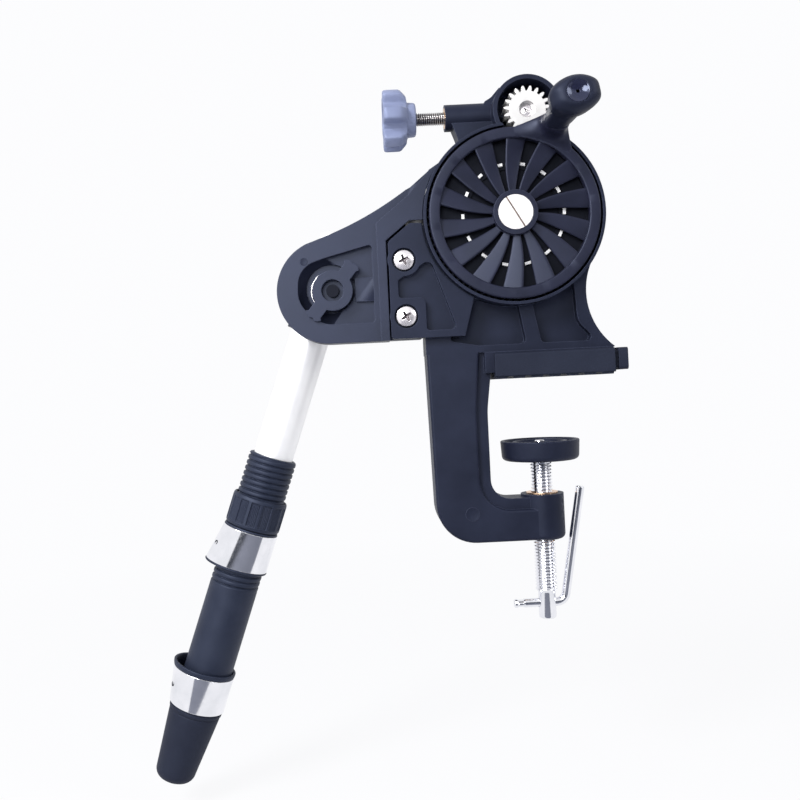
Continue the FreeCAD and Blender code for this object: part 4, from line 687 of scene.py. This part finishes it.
def subtract(body, tool):
    # the first mesh minus the second, as a plain mesh
    made = []
    for mesh in (body, tool):
        thing = bpy.data.objects.new(mesh.name, mesh)
        bpy.context.collection.objects.link(thing)
        made.append(thing)
    modifier = made[0].modifiers.new("hole", "BOOLEAN")
    modifier.operation, modifier.object, modifier.solver = "DIFFERENCE", made[1], "EXACT"
    mesh = bpy.data.meshes.new_from_object(made[0].evaluated_get(bpy.context.evaluated_depsgraph_get()))
    for thing in made:
        bpy.data.objects.remove(thing)
    return mesh


def clampScrew(s):
    # a plain foot, a thread of eight rows a turn and a stud, less the hole of the bar
    r, core, end, plain, top = s["radius"], s["core"], s["end"], s["plain"], s["padTop"]
    low = top - s["padThick"] - 0.1
    foot = top - s["studTall"]
    profile = [(core - 1.4, end), (core - 0.6, end + 0.05), (core - 0.15, end + 0.35), (core, end + 0.9),
               (core, plain - 0.2), (core + 0.15, plain + 0.1), (r, plain + 1.1)]
    profile += [(r, level) for level in steps(plain + 1.3, low - 0.3, s["pitch"] / 8)]
    profile += [(r - 0.3, low), (s["studRoot"], low), (s["studRoot"], foot), (s["stud"], foot),
                (s["stud"], foot + 0.6), (s["stud"], top - 0.5), (s["stud"] - 0.4, top - 0.22),
                (0.8, top - 0.2)]
    shell = spun(profile, uprightPlace, 64, False, clampReach)
    along = ((-10, 0, s["barZ"]), ((0, 1, 0), (0, 0, 1), (1, 0, 0)))
    hole = shellMesh("barHole", spun([(s["bar"] + 0.06, 0), (s["bar"] + 0.06, 20)], along, 48))
    mesh = subtract(shellMesh("screwWhole", shell), hole)
    finishPiece("clampScrew", mesh, chromePlate, "screw", ("clamp_screw",), 35.0)


def pressurePad(s):
    # rim, inner ring and hub stand up from a sunk top; the side is upright with a rounded foot
    r, top, low, bow = s["padRadius"], s["padTop"], s["padTop"] - s["padThick"], 2.3
    profile = [(3.6, low), (r - 6.0, low)]
    profile += [(r - 0.45 - bow * (1 - math.sin(t)), low + bow * (1 - math.cos(t)))
                for t in np.linspace(0, math.pi / 2, 7)]
    profile += [(r - 0.1, top - 0.9), (r - 0.05, top - 0.35), (r - 0.4, top), (r - 1.6, top),
                (r - 2.0, top - 0.3), (r - 2.5, top - 1.8), (r - 5.1, top - 1.8), (r - 5.5, top - 0.8),
                (r - 5.9, top - 0.5), (r - 6.8, top - 0.5), (r - 7.1, top - 0.8), (r - 7.7, top - 2.6),
                (6.6, top - 2.6), (6.2, top - 2.4), (5.9, top - 2.7), (5.8, top - 4.2), (3.6, top - 4.2)]
    shell = spun(profile, uprightPlace, 144, True)
    makePiece("pressurePad", [shell], blackPlastic, "pad", ("pressure_pad",))


barSet = {"radius": clampSet["bar"], "height": clampSet["barZ"], "left": -15.4, "elbow": 8.2, "reach": 54.0,
          "splay": 10.2, "bend": 4.6, "earFrom": 1.2, "earTo": 4.9, "earRun": 0.9, "earWide": 0.30,
          "earFlat": 0.22}


def tommyBar(s):
    # a round bar along a straight run, an arc and a second straight run, pressed flat near its free end
    splay = math.radians(90 - s["splay"])
    trim = s["bend"] * math.tan(splay / 2)
    first = s["elbow"] - trim - s["left"]
    bow = s["bend"] * splay
    last = s["reach"] - trim
    along = np.concatenate([[0, 0.25, 0.6], np.linspace(0.9, 5.6, 24), np.linspace(6.2, first, 10),
                            first + np.linspace(0, bow, 18)[1:],
                            first + bow + np.linspace(0, last - 0.5, 24)[1:],
                            [first + bow + last - 0.2, first + bow + last]])
    turn = np.clip((along - first) / s["bend"], 0, splay)
    before, after = np.minimum(along, first), np.maximum(along - first - bow, 0)
    x = s["left"] + before + s["bend"] * np.sin(turn) + after * math.cos(splay)
    z = s["height"] + s["bend"] * (1 - np.cos(turn)) + after * math.sin(splay)
    whole = along[-1]
    ends = np.minimum(np.clip(along / 0.6, 0, 1), np.clip((whole - along) / 0.5, 0, 1))
    radius = s["radius"] * (0.72 + 0.28 * np.sqrt(ends))
    ear = fadeIn(along, s["earFrom"], s["earTo"], s["earRun"])
    angle = fullTurn(40)[None, :]
    side = (radius * (1 + s["earWide"] * ear))[:, None] * np.sin(angle)
    rise = (radius * (1 - s["earFlat"] * ear))[:, None] * np.cos(angle)
    points = np.stack([x[:, None] - np.sin(turn)[:, None] * rise, side,
                       z[:, None] + np.cos(turn)[:, None] * rise], -1)
    makePiece("tommyBar", [closedGrid(points * mm)], chromePlate, "bar", ("tommy_bar",))


clampScrew(clampSet)
pressurePad(clampSet)
tommyBar(barSet)
print("clamp ready")

# cross-recessed screws
crossSet = {"reach": 2.55, "half": 0.60, "depth": 1.7, "soft": 0.42}
bracketHead = {"radius": 4.5, "height": 3.3, "shank": 2.5, "tail": -11.4, "scale": 1.0, "x": -59.5,
               "face": 9.8, "heights": (55.6, 30.2), "turns": (0.35, 0.55)}
pinionHead = {"radius": 2.7, "height": 2.1, "shank": 1.26, "tail": -7.5, "scale": 0.62, "face": 9.85,
              "turn": 0.9}


def headShell(place, s, turn):
    # domed head: the crown sinks by (r / R)^2.6, and the cross is cut where a point lies inside either arm
    radius, height, shank, tail, scale = (s[part] for part in ("radius", "height", "shank", "tail", "scale"))
    r = (np.concatenate([np.linspace(0.06, 0.74, 30), np.linspace(0.77, 0.985, 10)]) * radius)[:, None]
    angle = fullTurn(144)[None, :]
    x, y = np.abs(r * np.cos(angle - turn)), np.abs(r * np.sin(angle - turn))
    reach, half = crossSet["reach"] * scale, crossSet["half"] * scale
    armX = np.maximum(x - reach, y - half * (1.25 - 0.35 * x / reach))
    armY = np.maximum(y - reach, x - half * (1.25 - 0.35 * y / reach))
    inside = smoothStep(-np.minimum(armX, armY) / (crossSet["soft"] * scale))
    slope = 1 - 0.55 * np.clip(r / reach, 0, 1)
    level = height * (1 - 0.34 * (r / radius) ** 2.6) - inside * slope * crossSet["depth"] * scale
    grid = np.stack([r * np.cos(angle), r * np.sin(angle), level], -1)
    tailRows = np.array([(radius, height * 0.58), (radius, height * 0.12), (radius - 0.2, 0.0),
                         (shank, 0.0), (shank, tail + 0.4), (shank - 0.4, tail)])
    ringRows = np.stack([tailRows[:, :1] * np.cos(angle), tailRows[:, :1] * np.sin(angle),
                         np.repeat(tailRows[:, 1:], angle.shape[1], 1)], -1)
    shell = closedGrid(placed(np.concatenate([grid, ringRows]), place))
    # a face is deep where the sum of its four corners' shares passes 1.3, and so is the fan in the middle;
    # the deep faces are painted darker as the shade in the cross
    deep = np.zeros(len(shell[1]) + len(shell[2]), bool)
    following = np.roll(inside, -1, 1)
    within = inside[:-1] + inside[1:] + following[:-1] + following[1:] > 1.3
    deep[:within.size] = within.ravel()
    deep[len(shell[1]):len(shell[1]) + angle.shape[1]] = True
    return shell, deep


def crossScrews():
    # two equal screws in the bracket and a small one in the pinion, each painted darker in its cross as shade
    heads = [headShell(crankSide(bracketHead["x"], z, bracketHead["face"]), bracketHead, turn)
             for z, turn in zip(bracketHead["heights"], bracketHead["turns"])]
    makePiece("bracketScrews", [shell for shell, deep in heads], headPlate, "frame", ("bracket_screws",),
              shadedFaces=np.concatenate([deep for shell, deep in heads]), shadeFinish=recessShade)
    shell, deep = headShell(crankSide(pinionX, pinionZ, pinionHead["face"]), pinionHead, pinionHead["turn"])
    makePiece("pinionScrew", [shell], headPlate, "spindle", ("pinion_screw",), shadedFaces=deep,
              shadeFinish=threadSteel)


crossScrews()
print("screws ready")

# pivot: spring washer in the gap round the key, the floor round it, and the pipe's cap with its eyelet
pivotSet = {"inner": 9.6, "outer": 10.0, "from": 102.0, "to": 212.0, "low": 6.4, "high": 7.0,
            "floorInner": 9.0, "floorOuter": 15.7, "floorLevel": 6.55, "floorThick": 0.3}
capSet = {"start": -27.0, "radius": 9.2, "bore": 8.44, "plug": 6.0, "rise": 3.0, "eyelet": 1.9,
          "wire": 0.42, "aside": -3.6, "back": -4.0}


def crescentWasher(s):
    # a flat band whose width grows from nothing at its two tips to its full width between them
    share = np.linspace(0, 1, 61)[:, None]
    angle = np.radians(s["from"] + share * (s["to"] - s["from"]))
    width = np.maximum(np.sin(math.pi * share) ** 0.7, 0.04) * (s["outer"] - s["inner"])
    ring = np.array([(0, 0), (1, 0), (1, 1), (0, 1)], float)
    radius = s["inner"] + width * ring[None, :, 0]
    level = s["low"] + (s["high"] - s["low"]) * np.repeat(ring[None, :, 1], 61, 0)
    points = np.stack([radius * np.cos(angle), radius * np.sin(angle), level], -1)
    shell = closedGrid(placed(points, crankSide(places["pivotX"], places["pivotZ"], 0.0)))
    makePiece("pivotWasher", [shell], headPlate, "frame", ("pivot_washer",))


def pocketFloor(s):
    # a flat ring round the key
    inner, outer, thick = s["floorInner"], s["floorOuter"], s["floorThick"]
    profile = [(inner, -thick), (inner, 0.0), (outer, 0.0), (outer, -thick)]
    shell = spun(profile, crankSide(places["pivotX"], places["pivotZ"], s["floorLevel"]), 96, True)
    makePiece("pocketFloor", [shell], bracketPlastic, "frame", ())


def pipeCap(s):
    # a dome of cosine radius and sine height over a plug, and a torus of wire as its eyelet
    start, radius = s["start"], s["radius"]
    profile = [(radius * math.cos(t), start - 0.1 - s["rise"] * math.sin(t))
               for t in np.linspace(math.pi / 2 - 0.08, 0, 10)]
    profile += [(radius, start - 0.05), (s["bore"], start - 0.05), (s["bore"], start + s["plug"]),
                (1.0, start + s["plug"])]
    angle, wire = fullTurn(40)[:, None], fullTurn(12)[None, :]
    reach = s["eyelet"] + s["wire"] * np.cos(wire)
    eyelet = np.stack([s["aside"] + reach * np.cos(angle),
                       np.repeat(s["wire"] * np.sin(wire), 40, 0) + s["back"],
                       start + s["aside"] + reach * np.sin(angle)], -1)
    shells = [spun(profile, armPlace, 72), closedGrid(placed(eyelet, armPlace), True)]
    makePiece("pipeCap", shells, nickelPlate, "reel_arm", ("pipe_cap",))


crescentWasher(pivotSet)
pocketFloor(pivotSet)
pipeCap(capSet)

# crank wheel: hub and ring of the CAD wheel, fourteen curved blades between them, and the knob's ear
wheelSet = {"hub": 9.92, "ring": 33.28, "rim": 38.33, "front": 17.0, "earCut": 24.0, "far": 70.0,
            "behind": -5.0, "before": 45.0, "deep": 30.0, "sink": 2.05, "count": 14, "thick": 1.3,
            "tilt": 11.0, "reach": (9.0, 16.5, 24.5, 33.9), "share": (0.80, 0.74, 0.67, 0.61),
            "aside": (2.7, 4.2, 5.0, 5.4)}
earSet = {"lean": 4.5, "middle": 35.8, "half": 16.5, "wide": 2.45, "neck": 5.8, "low": 16.8, "high": 24.2,
          "post": 28.55}


def throughPoints(stations, values, wanted):
    # the polynomial through all the points, by Lagrange's formula
    total = np.zeros_like(wanted)
    for i, value in enumerate(values):
        term = np.full_like(wanted, value)
        for j, other in enumerate(stations):
            if j != i:
                term *= (wanted - other) / (stations[i] - other)
        total += term
    return total


def roundPower(value, power):
    # the sign of a value times a power of its size, which makes a square of a circle as the power falls
    return np.sign(value) * np.abs(value) ** power


def wheelBlades(s):
    # a blade's section is a rounded bar, tilted about its length; its width is a share of the spacing
    along = np.linspace(s["reach"][0], s["reach"][-1], 25)
    width = 2 * math.pi * along / s["count"] * throughPoints(s["reach"], s["share"], along)
    aside = throughPoints(s["reach"], s["aside"], along)
    angle = fullTurn(24)[None, :]
    across = width[:, None] / 2 * roundPower(np.cos(angle), 0.35)
    up = s["thick"] / 2 * roundPower(np.sin(angle), 0.5) + 0.0 * across
    tilt = math.radians(s["tilt"])
    level = s["front"] - s["sink"] + across * math.sin(tilt) + up * math.cos(tilt)
    side = aside[:, None] + across * math.cos(tilt) - up * math.sin(tilt)
    shells = []
    for turn in fullTurn(s["count"]):
        x, z = aboutAxis(along[:, None], side, turn)
        shells.append(closedGrid(placed(np.stack([x, z, level], -1), wheelPlace)))
    makePiece("wheelBlades", shells, wheelPlastic, "crank", (), 50.0)


def cadMesh(name):
    # a node's mesh in the frame's coordinates, with the points of its facets joined
    form = bmesh.new()
    form.from_mesh(nodes[name].data)
    form.transform(nodes[name].matrix_world)
    bmesh.ops.remove_doubles(form, verts=form.verts, dist=1e-6)
    whole = bpy.data.meshes.new(name + "Whole")
    form.to_mesh(whole)
    form.free()
    return whole


def crankWheel(s):
    # the CAD wheel less its blades, less what stands past its rim and in front of its ring at the knob
    deep, behind, before = s["deep"], s["behind"], s["before"]
    blades = [(s["hub"], 0.0), (s["ring"], 0.0), (s["ring"], deep), (s["hub"], deep)]
    outside = [(s["rim"], behind), (s["far"], behind), (s["far"], before), (s["rim"], before)]
    ear = [(s["earCut"], 0.0), (s["earCut"], deep)]
    whole = cadMesh("crank_wheel")
    for tool in (shellMesh("bladeTool", spun(blades, wheelPlace, 180, True)),
                 shellMesh("rimTool", spun(outside, wheelPlace, 180, True)),
                 shellMesh("earTool", spun(ear, crankSide(knobX, knobZ, s["front"] + 0.02), 64))):
        whole = subtract(whole, tool)
    finishPiece("crankWheel", whole, wheelPlastic, "crank", ("crank_wheel",), 9.0)


def knobEar(s):
    # from a bar bent along the ring to a round neck: the share of the neck grows as 1 - (1 - t)^3
    angle = fullTurn(72)[None, :]
    t = np.linspace(0, 1, 22)[:, None]
    share = 1 - (1 - t) ** 3.0
    level = s["low"] + (s["high"] - s["low"]) * t ** 1.5
    turn = math.radians(places["knobTurn"])
    bent = turn + math.radians(s["lean"]) + s["half"] / s["middle"] * roundPower(np.cos(angle), 0.8)
    radial = s["middle"] + s["wide"] * roundPower(np.sin(angle), 0.7)
    baseX, baseZ = radial * np.cos(bent), radial * np.sin(bent)
    middleX, middleZ = aboutAxis(places["knobReach"], 0.0, turn)
    sideX, sideZ = aboutAxis(s["neck"] * np.sin(angle), s["neck"] * np.cos(angle), turn)
    neckX, neckZ = middleX + sideX, middleZ + sideZ
    x, z = baseX + share * (neckX - baseX), baseZ + share * (neckZ - baseZ)
    rows = [np.stack([x, z, level + 0 * bent], -1)]
    for drawn, high in ((0.03, s["high"] + 1.2), (0.06, s["post"] - 0.4), (0.12, s["post"])):
        rows.append(np.stack([neckX - drawn * sideX, neckZ - drawn * sideZ, high + 0 * bent], -1))
    shell = closedGrid(placed(np.concatenate(rows), wheelPlace))
    makePiece("knobEar", [shell], wheelPlastic, "crank", (), 60.0)


crankWheel(wheelSet)
wheelBlades(wheelSet)
knobEar(earSet)

slotSet = {"turn": -60.0, "level": 18.55, "half": 7.55, "wide": 0.33, "thick": 0.3}


def axleSlot(s):
    # the shaded floor of the slot in the axle's head, as a thin bar
    place = turnedSide(places["wheelX"], places["wheelZ"], -s["level"], s["turn"])
    corners = np.array([(-1, -1), (1, -1), (1, 1), (-1, 1)], float) * (s["half"], s["wide"])
    rows = np.stack([np.column_stack([corners, np.full(4, level)]) for level in (-s["thick"], 0.0)])
    makePiece("axleSlot", [closedGrid(placed(rows, place))], slotShade, "frame")


axleSlot(slotSet)

# crank knob: an oval grip that swells towards its domed front, and a dished cap with its small hole
knobSet = {"turn": 10.0, "wide": 20.2, "tall": 15.4, "flat": 0.42,
           "depth": (28.4, 31.4, 47.5, 50.0, 56.4, 57.8, 60.6, 62.1, 62.8),
           "share": (0.60, 0.63, 0.71, 0.92, 0.99, 1.0, 0.91, 0.75, 0.56),
           "rise": (0.62, 0.64, 0.72, 0.90, 0.99, 1.0, 0.92, 0.78, 0.63), "cap": 4.6, "hole": 0.75,
           "pin": 2.6}


def knobOutline(s, angle):
    # distance from the middle to the nearer of a bulging arc and an end flat, with softened corners
    a, b, h = s["wide"] / 2, s["tall"] / 2, s["flat"] * s["tall"] / 2
    arc = (a * a + (b - h) ** 2) / (2 * (b - h))
    drop = arc - b
    sine, cosine = np.abs(np.sin(angle)), np.abs(np.cos(angle))
    bow = -drop * sine + np.sqrt(arc * arc - (drop * cosine) ** 2)
    reach = np.minimum(bow, a / np.maximum(cosine, 1e-6))
    blur = np.array([1, 2, 3, 4, 3, 2, 1]) / 16
    return np.convolve(np.concatenate([reach[-3:], reach, reach[:3]]), blur, "valid")


def crankKnob(s):
    # one outline is scaled in width and height at each depth, drawn softly through the stations
    place = turnedSide(knobX, knobZ, 0, s["turn"])
    back, front = s["depth"][0], s["depth"][-1]
    depth = np.concatenate([[back], np.linspace(back + 0.2, front, 56)])
    blur = np.array([1.0, 2.0, 3.0, 2.0, 1.0]) / 9
    half = []
    for part in (s["share"], s["rise"]):
        drawn = np.interp(depth, s["depth"], part)
        drawn[2:-2] = np.convolve(drawn, blur, "valid")
        half.append(drawn[:, None])
    angle = fullTurn(96)[None, :]
    cosine, sine = np.cos(angle), np.sin(angle)
    outline = knobOutline(s, angle[0])[None, :]
    grip = np.stack([half[0] * outline * cosine, half[1] * outline * sine,
                     np.repeat(depth[:, None], 96, 1)], -1)
    # the seat of the cap, and the bore of the pin back to the start
    inner = np.array([(s["cap"] + 0.12, front), (s["cap"] + 0.1, front - 0.5), (s["pin"], front - 4.0),
                      (s["pin"], back)])
    seat = np.stack([inner[:, :1] * cosine, inner[:, :1] * sine, np.repeat(inner[:, 1:], 96, 1)], -1)
    shell = closedGrid(placed(np.concatenate([grip, seat]), place), True)
    makePiece("knobGrip", [shell], blackPlastic, "crank_knob", ("knob_grip",), 50.0)
    cap, hole = s["cap"], s["hole"]
    profile = [(hole, front - 2.2), (hole, front - 0.95), (cap * 0.35, front - 0.8),
               (cap * 0.6, front - 0.55), (cap * 0.8, front - 0.22), (cap - 0.4, front + 0.12),
               (cap - 0.15, front + 0.2), (cap, front + 0.05), (cap, front - 2.2)]
    makePiece("knobCap", [spun(profile, place, 72, True)], glossPlastic, "crank_knob", ("knob_cap",),
              60.0)


crankKnob(knobSet)
print("wheel and knob ready")

# lobed bracket: the CAD plate with a hollow upper edge from the lobe to the neck
bracketSet = {"along": (-105.6, -101.9, -90.8, -76.0, -57.3), "height": (64.2, 65.45, 69.45, 76.03, 87.2),
              "top": 110.0, "back": 30.0}


def bracketPlate(s):
    # the tool is the space over a curve through the five points; the plate is the CAD plate less that
    along = np.linspace(s["along"][0], s["along"][-1], 40)
    height = throughPoints(s["along"], s["height"], along)
    x = np.concatenate([along, [along[-1], along[0]]])
    z = np.concatenate([height, [s["top"], s["top"]]])
    rows = np.stack([np.column_stack([x, np.full(len(x), y), z]) for y in (-s["back"], s["back"])])
    plate = subtract(cadMesh("reel_arm_bracket"), shellMesh("edgeTool", closedGrid(rows * mm)))
    finishPiece("bracketPlate", plate, bracketPlastic, "frame", ("reel_arm_bracket",), 5.0)


bracketPlate(bracketSet)

# bright bars behind the blades, painted highlights that stand in for the glints seen through the gaps, and
# faint moulding marks
gapSet = {"radius": 22.8, "long": 2.9, "high": 1.3, "depth": 12.6, "thick": 0.8, "count": 14, "phase": 26.6}


def gapGlintBars(s):
    # one short bright bar across the middle of each gap between the blades, a painted highlight
    corner = np.array([(-1, -1), (1, -1), (1, 1), (-1, 1)], float)[None, :, :]
    across = np.array([-0.5, 0.5])[:, None] * s["long"]
    radial = s["radius"] + corner[:, :, 0] * s["high"] / 2 + 0 * across
    level = s["depth"] + corner[:, :, 1] * s["thick"] / 2 + 0 * across
    shells = []
    for turn in math.radians(s["phase"]) + fullTurn(s["count"]):
        x, z = aboutAxis(radial, across, turn)
        shells.append(closedGrid(placed(np.stack([x, z, level], -1), wheelPlace)))
    makePiece("gapGlintBars", shells, satinAluminium, "crank")


gapGlintBars(gapSet)

markSet = {"columnMark": {"x": -33.6, "z": -60.8, "depth": 9.0, "radius": 3.3},
           "lobeMark": {"x": -104.6, "z": 57.0, "depth": 11.0, "radius": 1.8}}


def mouldMark(name, s):
    # a round mark of an ejector pin, a tenth of a millimetre proud
    r = s["radius"]
    profile = [(0.2, 0.05), (r - 0.25, 0.05), (r - 0.08, 0.10), (r, 0.0), (r, -0.3)]
    makePiece(name, [spun(profile, crankSide(s["x"], s["z"], s["depth"]), 64)], blackPlastic, "frame")


for name, settings in markSet.items():
    mouldMark(name, settings)
print("details ready")


# floor, world and lamps
studioSet = {"floor": -0.1985, "floorSize": 6.0, "paper": (0.95, 0.95, 0.97), "glow": 0.93,
             "fade": (0.3, 0.75), "sky": (0.975, 0.977, 0.99), "skyLight": 0.5, "paperRough": 0.9}
cardLevel = -0.1975  # a millimetre over the floor


def seenRays(nodeSet, links):
    # 1 for rays of the camera and for those that polished and clear surfaces send on
    path = nodeSet.new("ShaderNodeLightPath")
    total = path.outputs["Is Camera Ray"]
    for other in ("Is Glossy Ray", "Is Transmission Ray"):
        add = nodeSet.new("ShaderNodeMath")
        add.operation = "MAXIMUM"
        links.new(total, add.inputs[0])
        links.new(path.outputs[other], add.inputs[1])
        total = add.outputs[0]
    return total


def makeStudio(settings):
    # a pale floor that glows towards the sky's tone with distance, and a world that lights at its own level
    size = settings["floorSize"]
    mesh = bpy.data.meshes.new("floor")
    corners = np.array([(-1, -1), (1, -1), (1, 1), (-1, 1)], float) * size
    points = np.column_stack([corners, np.full(4, settings["floor"])])
    mesh.from_pydata(points.tolist(), [], [(0, 1, 2, 3)])
    floor = bpy.data.objects.new("floor", mesh)
    bpy.context.collection.objects.link(floor)
    material, nodeSet, links, shader = newMaterial("paleFloor")
    shader.inputs["Base Color"].default_value = (*settings["paper"], 1.0)
    shader.inputs["Roughness"].default_value = settings["paperRough"]
    glow = nodeSet.new("ShaderNodeEmission")
    glow.inputs["Color"].default_value = (*settings["sky"], 1.0)
    coords = nodeSet.new("ShaderNodeTexCoord")
    away = nodeSet.new("ShaderNodeVectorMath")
    away.operation = "LENGTH"
    links.new(coords.outputs["Object"], away.inputs[0])
    fade = nodeSet.new("ShaderNodeMapRange")
    fade.inputs["From Min"].default_value, fade.inputs["From Max"].default_value = settings["fade"]
    fade.inputs["To Min"].default_value, fade.inputs["To Max"].default_value = settings["glow"], 1.0
    links.new(away.outputs["Value"], fade.inputs["Value"])
    share = nodeSet.new("ShaderNodeMath")
    share.operation = "MULTIPLY"
    links.new(seenRays(nodeSet, links), share.inputs[0])
    links.new(fade.outputs["Result"], share.inputs[1])
    mixed = nodeSet.new("ShaderNodeMixShader")
    links.new(share.outputs[0], mixed.inputs["Fac"])
    links.new(shader.outputs[0], mixed.inputs[1])
    links.new(glow.outputs[0], mixed.inputs[2])
    links.new(mixed.outputs[0], nodeSet["Material Output"].inputs["Surface"])
    mesh.materials.append(material)

    world = bpy.data.worlds.new("world")
    bpy.context.scene.world = world
    world.use_nodes = True
    nodeSet, links = world.node_tree.nodes, world.node_tree.links
    sky = nodeSet["Background"]
    sky.inputs["Color"].default_value = (*settings["sky"], 1.0)
    level = nodeSet.new("ShaderNodeMapRange")
    level.inputs["To Min"].default_value, level.inputs["To Max"].default_value = settings["skyLight"], 1.0
    links.new(seenRays(nodeSet, links), level.inputs["Value"])
    links.new(level.outputs["Result"], sky.inputs["Strength"])


# dark cards out of the camera's sight give the polished metal its dark bands
cardSet = {
    "floorCard": {"corners": ((-0.215, -0.09, cardLevel), (0.03, -0.09, cardLevel), (1.3, -1.3, cardLevel),
                              (-0.85, -1.3, cardLevel)),
                  "tone": (0.20, 0.21, 0.25)},
    "frontCard": {"corners": ((-0.85, -1.3, -1.3), (1.5, -1.3, -1.3), (1.5, -1.3, 0.42), (-0.85, -1.3, 0.42)),
                  "tone": (0.07, 0.08, 0.11)},
    "sideCard": {"corners": ((1.3, -0.9, -0.9), (1.3, 0.1, -0.9), (1.3, 0.1, 0.2), (1.3, -0.9, 0.2)),
                 "tone": (0.12, 0.13, 0.18)}}


def makeCard(name, settings):
    # seen in reflections alone
    mesh = bpy.data.meshes.new(name)
    mesh.from_pydata([list(corner) for corner in settings["corners"]], [], [(0, 1, 2, 3)])
    card = bpy.data.objects.new(name, mesh)
    bpy.context.collection.objects.link(card)
    material = newMaterial(name)[0]
    shader = material.node_tree.nodes["Principled BSDF"]
    shader.inputs["Base Color"].default_value = (*settings["tone"], 1.0)
    shader.inputs["Roughness"].default_value = 1.0
    shader.inputs["Specular IOR Level"].default_value = 0.0
    mesh.materials.append(material)
    card.visible_camera = False
    card.visible_diffuse = False
    card.visible_shadow = False


lampSet = {
    "keyLamp": {"place": (-0.60, -0.55, 0.50), "target": (-0.06, 0.0, 0.0), "size": 0.35, "power": 8.5,
                "diffuse": True},
    "fillLamp": {"place": (0.85, -0.55, 0.45), "target": (-0.05, 0.0, 0.0), "size": 0.5, "power": 3.0,
                 "diffuse": True},
    "sheenLamp": {"place": (-0.36, -0.92, 0.25), "target": (-0.09, 0.0, 0.05), "size": 0.5, "power": 9.0,
                  "diffuse": False}}


def areaLamp(name, settings):
    # a round lamp that looks at its target; the sheen lamp shows in gloss alone
    data = bpy.data.lights.new(name, "AREA")
    data.shape, data.size, data.energy = "DISK", settings["size"], settings["power"]
    lamp = bpy.data.objects.new(name, data)
    bpy.context.collection.objects.link(lamp)
    lamp.location = settings["place"]
    lamp.rotation_euler = (Vector(settings["target"]) - lamp.location).to_track_quat("-Z", "Y").to_euler()
    lamp.visible_diffuse = settings["diffuse"]


makeStudio(studioSet)
for name, settings in cardSet.items():
    makeCard(name, settings)
for name, settings in lampSet.items():
    areaLamp(name, settings)
print("studio ready")

bpy.context.scene.view_settings.view_transform = "Standard"
